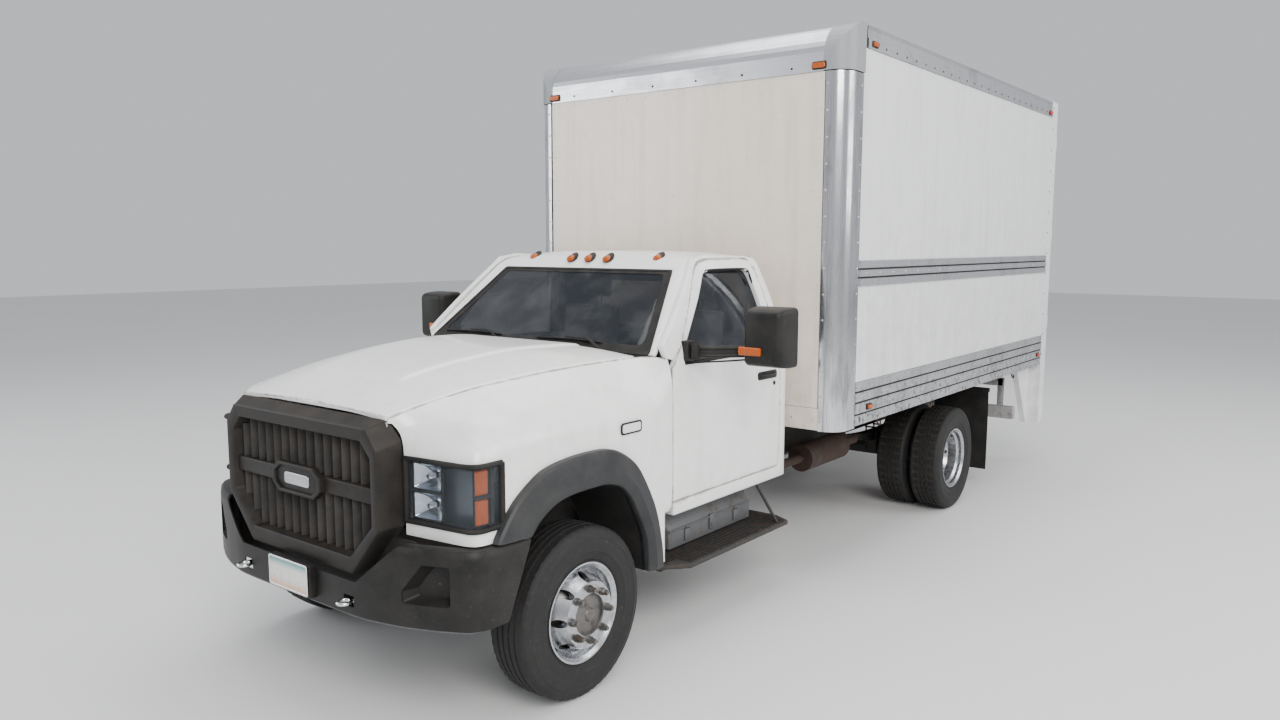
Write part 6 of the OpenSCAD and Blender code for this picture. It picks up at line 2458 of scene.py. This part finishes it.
def fastener_tree():
    """Geometry Nodes group that sets a domed head on every point, square to the stored direction."""
    tree = bpy.data.node_groups.new("fastener_rows", "GeometryNodeTree")
    face = tree.interface
    face.new_socket("Geometry", in_out="INPUT", socket_type="NodeSocketGeometry")
    for name, kind in (
        ("Radius", "Float"), ("Height", "Float"), ("Sides", "Int"), ("Seed", "Int"), ("Finish", "Material")
    ):
        face.new_socket(name, in_out="INPUT", socket_type="NodeSocket" + kind)
    face.new_socket("Geometry", in_out="OUTPUT", socket_type="NodeSocketGeometry")

    def node(kind):
        return tree.nodes.new(kind)

    def link(a, b):
        tree.links.new(a, b)

    start, end = node("NodeGroupInput"), node("NodeGroupOutput")
    ball = node("GeometryNodeMeshUVSphere")
    ball.inputs["Rings"].default_value = 8
    link(start.outputs["Sides"], ball.inputs["Segments"])
    link(start.outputs["Radius"], ball.inputs["Radius"])
    flatten = node("GeometryNodeTransform")
    size = node("ShaderNodeCombineXYZ")
    ratio = node("ShaderNodeMath")
    ratio.operation = "DIVIDE"
    link(start.outputs["Height"], ratio.inputs[0])
    link(start.outputs["Radius"], ratio.inputs[1])
    size.inputs["X"].default_value = size.inputs["Y"].default_value = 1.0
    link(ratio.outputs[0], size.inputs["Z"])
    link(ball.outputs["Mesh"], flatten.inputs["Geometry"])
    link(size.outputs[0], flatten.inputs["Scale"])
    facing = node("GeometryNodeInputNamedAttribute")
    facing.data_type = "FLOAT_VECTOR"
    facing.inputs["Name"].default_value = "facing"
    align = node("FunctionNodeAlignRotationToVector")
    align.axis = "Z"
    link(facing.outputs[0], align.inputs["Vector"])
    spread = node("FunctionNodeRandomValue")
    spread.data_type = "FLOAT"
    spread.inputs[2].default_value, spread.inputs[3].default_value = 0.94, 1.04
    link(start.outputs["Seed"], spread.inputs["Seed"])
    place = node("GeometryNodeInstanceOnPoints")
    link(start.outputs["Geometry"], place.inputs["Points"])
    link(flatten.outputs["Geometry"], place.inputs["Instance"])
    link(align.outputs[0], place.inputs["Rotation"])
    link(spread.outputs[1], place.inputs["Scale"])
    real, finish = node("GeometryNodeRealizeInstances"), node("GeometryNodeSetMaterial")
    link(place.outputs[0], real.inputs[0])
    link(real.outputs[0], finish.inputs["Geometry"])
    link(start.outputs["Finish"], finish.inputs["Material"])
    link(finish.outputs[0], end.inputs[0])
    return tree


def fastened(name, points, radius, height, finish, slot_name, body="truck"):
    """Heads at (place, direction) points, as one plain mesh."""
    *_, fasteners, _, _ = sizes()
    mesh = bpy.data.meshes.new(name)
    mesh.from_pydata([tuple(p) for p, _ in points], [], [])
    attribute = mesh.attributes.new("facing", "FLOAT_VECTOR", "POINT")
    attribute.data.foreach_set("vector", [c for _, d in points for c in d])
    holder = bpy.data.objects.new(name + "_points", mesh)
    bpy.context.scene.collection.objects.link(holder)
    tree = bpy.data.node_groups.get("fastener_rows") or fastener_tree()
    modifier = holder.modifiers.new("rows", "NODES")
    modifier.node_group = tree
    sockets = {s.name: s.identifier for s in tree.interface.items_tree if s.in_out == "INPUT"}
    values = {
        "Radius": radius, "Height": height, "Sides": fasteners.sides, "Seed": 7,
        "Finish": finishes()[finish]
    }
    for key, value in values.items():
        modifier[sockets[key]] = value
    bpy.context.view_layer.update()
    graph = bpy.context.evaluated_depsgraph_get()
    plain = bpy.data.meshes.new_from_object(holder.evaluated_get(graph))
    bpy.data.objects.remove(holder)
    obj = bpy.data.objects.new(name, plain)
    bpy.context.scene.collection.objects.link(obj)
    for polygon in plain.polygons:
        polygon.use_smooth = True
    return fitted(obj, body, slot_name, finishes()[finish])


def row(start, stop, pitch, direction):
    """Evenly spaced (place, direction) points."""
    start, stop = Vector(start), Vector(stop)
    count = max(1, round((stop - start).length / pitch))
    return [(start.lerp(stop, k / count), Vector(direction)) for k in range(count + 1)]


class TRUCK_OT_fasteners(bpy.types.Operator):
    """Rivets and screws on the cargo body"""

    bl_idname = "truck.fasteners"
    bl_label = "Fasteners"

    def execute(self, context):
        _, _, f, _, _ = sizes()
        wall, rear = BODY_HALF, BODY_REAR
        cream, white, steel, dark = [], [], [], []
        look = (0, -1, 0)
        face = 2.0955
        for z in (2.482, 1.67):
            cream += [(at(x, face, z), look) for x in (-1.07, -0.54, 0, 0.54, 1.07)]
        cream += [(at(0.805, face, 2.942), look), (at(-0.805, face, 2.942), look)]
        for x in (-1.105, 1.105):
            cream += row(at(x, face, 1.20), at(x, face, 3.16), f.pitch * 1.2, look)
        cream += row(at(-1.06, face, 3.165), at(1.06, face, 3.165), f.pitch * 1.1, look)
        dark += [(at(x, 2.0895, 3.230), look) for x in (-0.90, -0.54, -0.18, 0.18, 0.54, 0.90)]
        steel += row(at(-1.10, 2.0875, 1.060), at(1.10, 2.0875, 1.060), f.pitch, look)
        for m in (-1, 1):
            out = (m, 0, 0)
            side = wall - 0.002
            white += [(at(m * side, s, 2.195), out) for s in (2.47, 2.93, 3.53, 4.2, 4.8, 5.4, 6.0, 6.36)]
            for s in (2.93, 3.53, 4.13, 4.73, 5.33, 5.93):
                white += row(at(m * side, s, 1.34), at(m * side, s, 1.84), f.pitch * 1.6, out)
                white += row(at(m * side, s, 2.12), at(m * side, s, 3.30), f.pitch * 1.6, out)
            steel += row(
                at(m * (wall + 0.0075), 2.36, 1.108), at(m * (wall + 0.0075), 6.38, 1.108), f.pitch * 0.66,
                out
            )
            steel += row(
                at(m * (wall + 0.0055), 2.36, 1.034), at(m * (wall + 0.0055), 6.38, 1.034), f.pitch * 0.66,
                out
            )
            steel += row(
                at(m * (wall + 0.0075), 2.40, 1.184), at(m * (wall + 0.0075), 6.38, 1.184), f.pitch * 2, out
            )
            steel += row(
                at(m * (wall + 0.0155), 2.40, 1.974), at(m * (wall + 0.0155), 6.38, 1.974), f.pitch * 1.4,
                out
            )
            dark += row(
                at(m * (wall + 0.0055), 2.46, 3.383), at(m * (wall + 0.0055), 6.38, 3.383), f.pitch * 1.1,
                out
            )
            steel += row(
                at(m * (wall - 0.0002), 2.300, 1.05), at(m * (wall - 0.0002), 2.300, 3.12), f.pitch * 1.1,
                out
            )
            steel += row(at(m * 1.150, 2.0895, 1.05), at(m * 1.150, 2.0895, 3.12), f.pitch * 1.1, look)
            dark += row(
                at(m * (wall - 0.0002), 6.455, 1.10), at(m * (wall - 0.0002), 6.455, 3.44), f.pitch * 1.3,
                out
            )
        back = (0, 1, 0)
        for m in (-1, 1):
            dark += row(
                (m * 1.255, rear + 0.0002, 1.06), (m * 1.255, rear + 0.0002, 3.46), f.pitch * 1.6, back
            )
        fastened("rivets_front", cream, f.rivet, 0.004, "front_paint", "panel_cream")
        fastened("rivets_sides", white, f.rivet, 0.004, "side_paint", "panel_white")
        fastened("rivets_rails", steel, f.rivet, 0.0045, "bare_metal", "galvanised")
        fastened("screws", dark, f.screw, 0.0045, "seal", "trim_black")
        return {"FINISHED"}


# ---- panel, registration and build ------------------------------------------------------------------

OPERATORS = (
    TRUCK_OT_stage,
    TRUCK_OT_hood,
    TRUCK_OT_fenders,
    TRUCK_OT_flares,
    TRUCK_OT_grille,
    TRUCK_OT_bumper,
    TRUCK_OT_headlights,
    TRUCK_OT_cab,
    TRUCK_OT_glass,
    TRUCK_OT_doors,
    TRUCK_OT_mirrors,
    TRUCK_OT_wipers,
    TRUCK_OT_roof_lamps,
    TRUCK_OT_tyres,
    TRUCK_OT_seats,
    TRUCK_OT_dashboard,
    TRUCK_OT_body_trim,
    TRUCK_OT_fasteners,
    TRUCK_OT_finishes,
)
GROUPS = {
    "truck_colours": TruckColours,
    "truck_panels": TruckPanels,
    "truck_fasteners": TruckFasteners,
    "truck_wheels": TruckWheels,
    "truck_stage": TruckStage,
}


class TRUCK_PT_builder(bpy.types.Panel):
    """Sizes, colours and the steps that build the truck"""

    bl_idname = "TRUCK_PT_builder"
    bl_label = "Delivery Truck"
    bl_space_type = "VIEW_3D"
    bl_region_type = "UI"
    bl_category = "Truck"

    def draw(self, context):
        for name, group in GROUPS.items():
            box = self.layout.box()
            box.label(text=group.__doc__)
            for field in group.__annotations__:
                box.prop(getattr(context.scene, name), field)
        for operator in OPERATORS:
            self.layout.operator(operator.bl_idname)


def register():
    for item in (*GROUPS.values(), *OPERATORS, TRUCK_PT_builder):
        bpy.utils.register_class(item)
    for name, group in GROUPS.items():
        setattr(bpy.types.Scene, name, PointerProperty(type=group))


def unregister():
    for name in GROUPS:
        delattr(bpy.types.Scene, name)
    for item in reversed((*GROUPS.values(), *OPERATORS, TRUCK_PT_builder)):
        bpy.utils.unregister_class(item)


def plain(box):
    """A pair of corners as plain lists."""
    return [[float(c) for c in corner] for corner in box]


def main():
    register()
    for operator in OPERATORS:
        group, name = operator.bl_idname.split(".")
        result = getattr(getattr(bpy.ops, group), name)()
        if result != {"FINISHED"}:
            raise RuntimeError(f"{operator.bl_idname} returned {result}")
    bpy.context.view_layer.update()
    {"cad": plain(CAD_BOX), "visual": plain(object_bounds())}


if __name__ == "__main__":
    main()
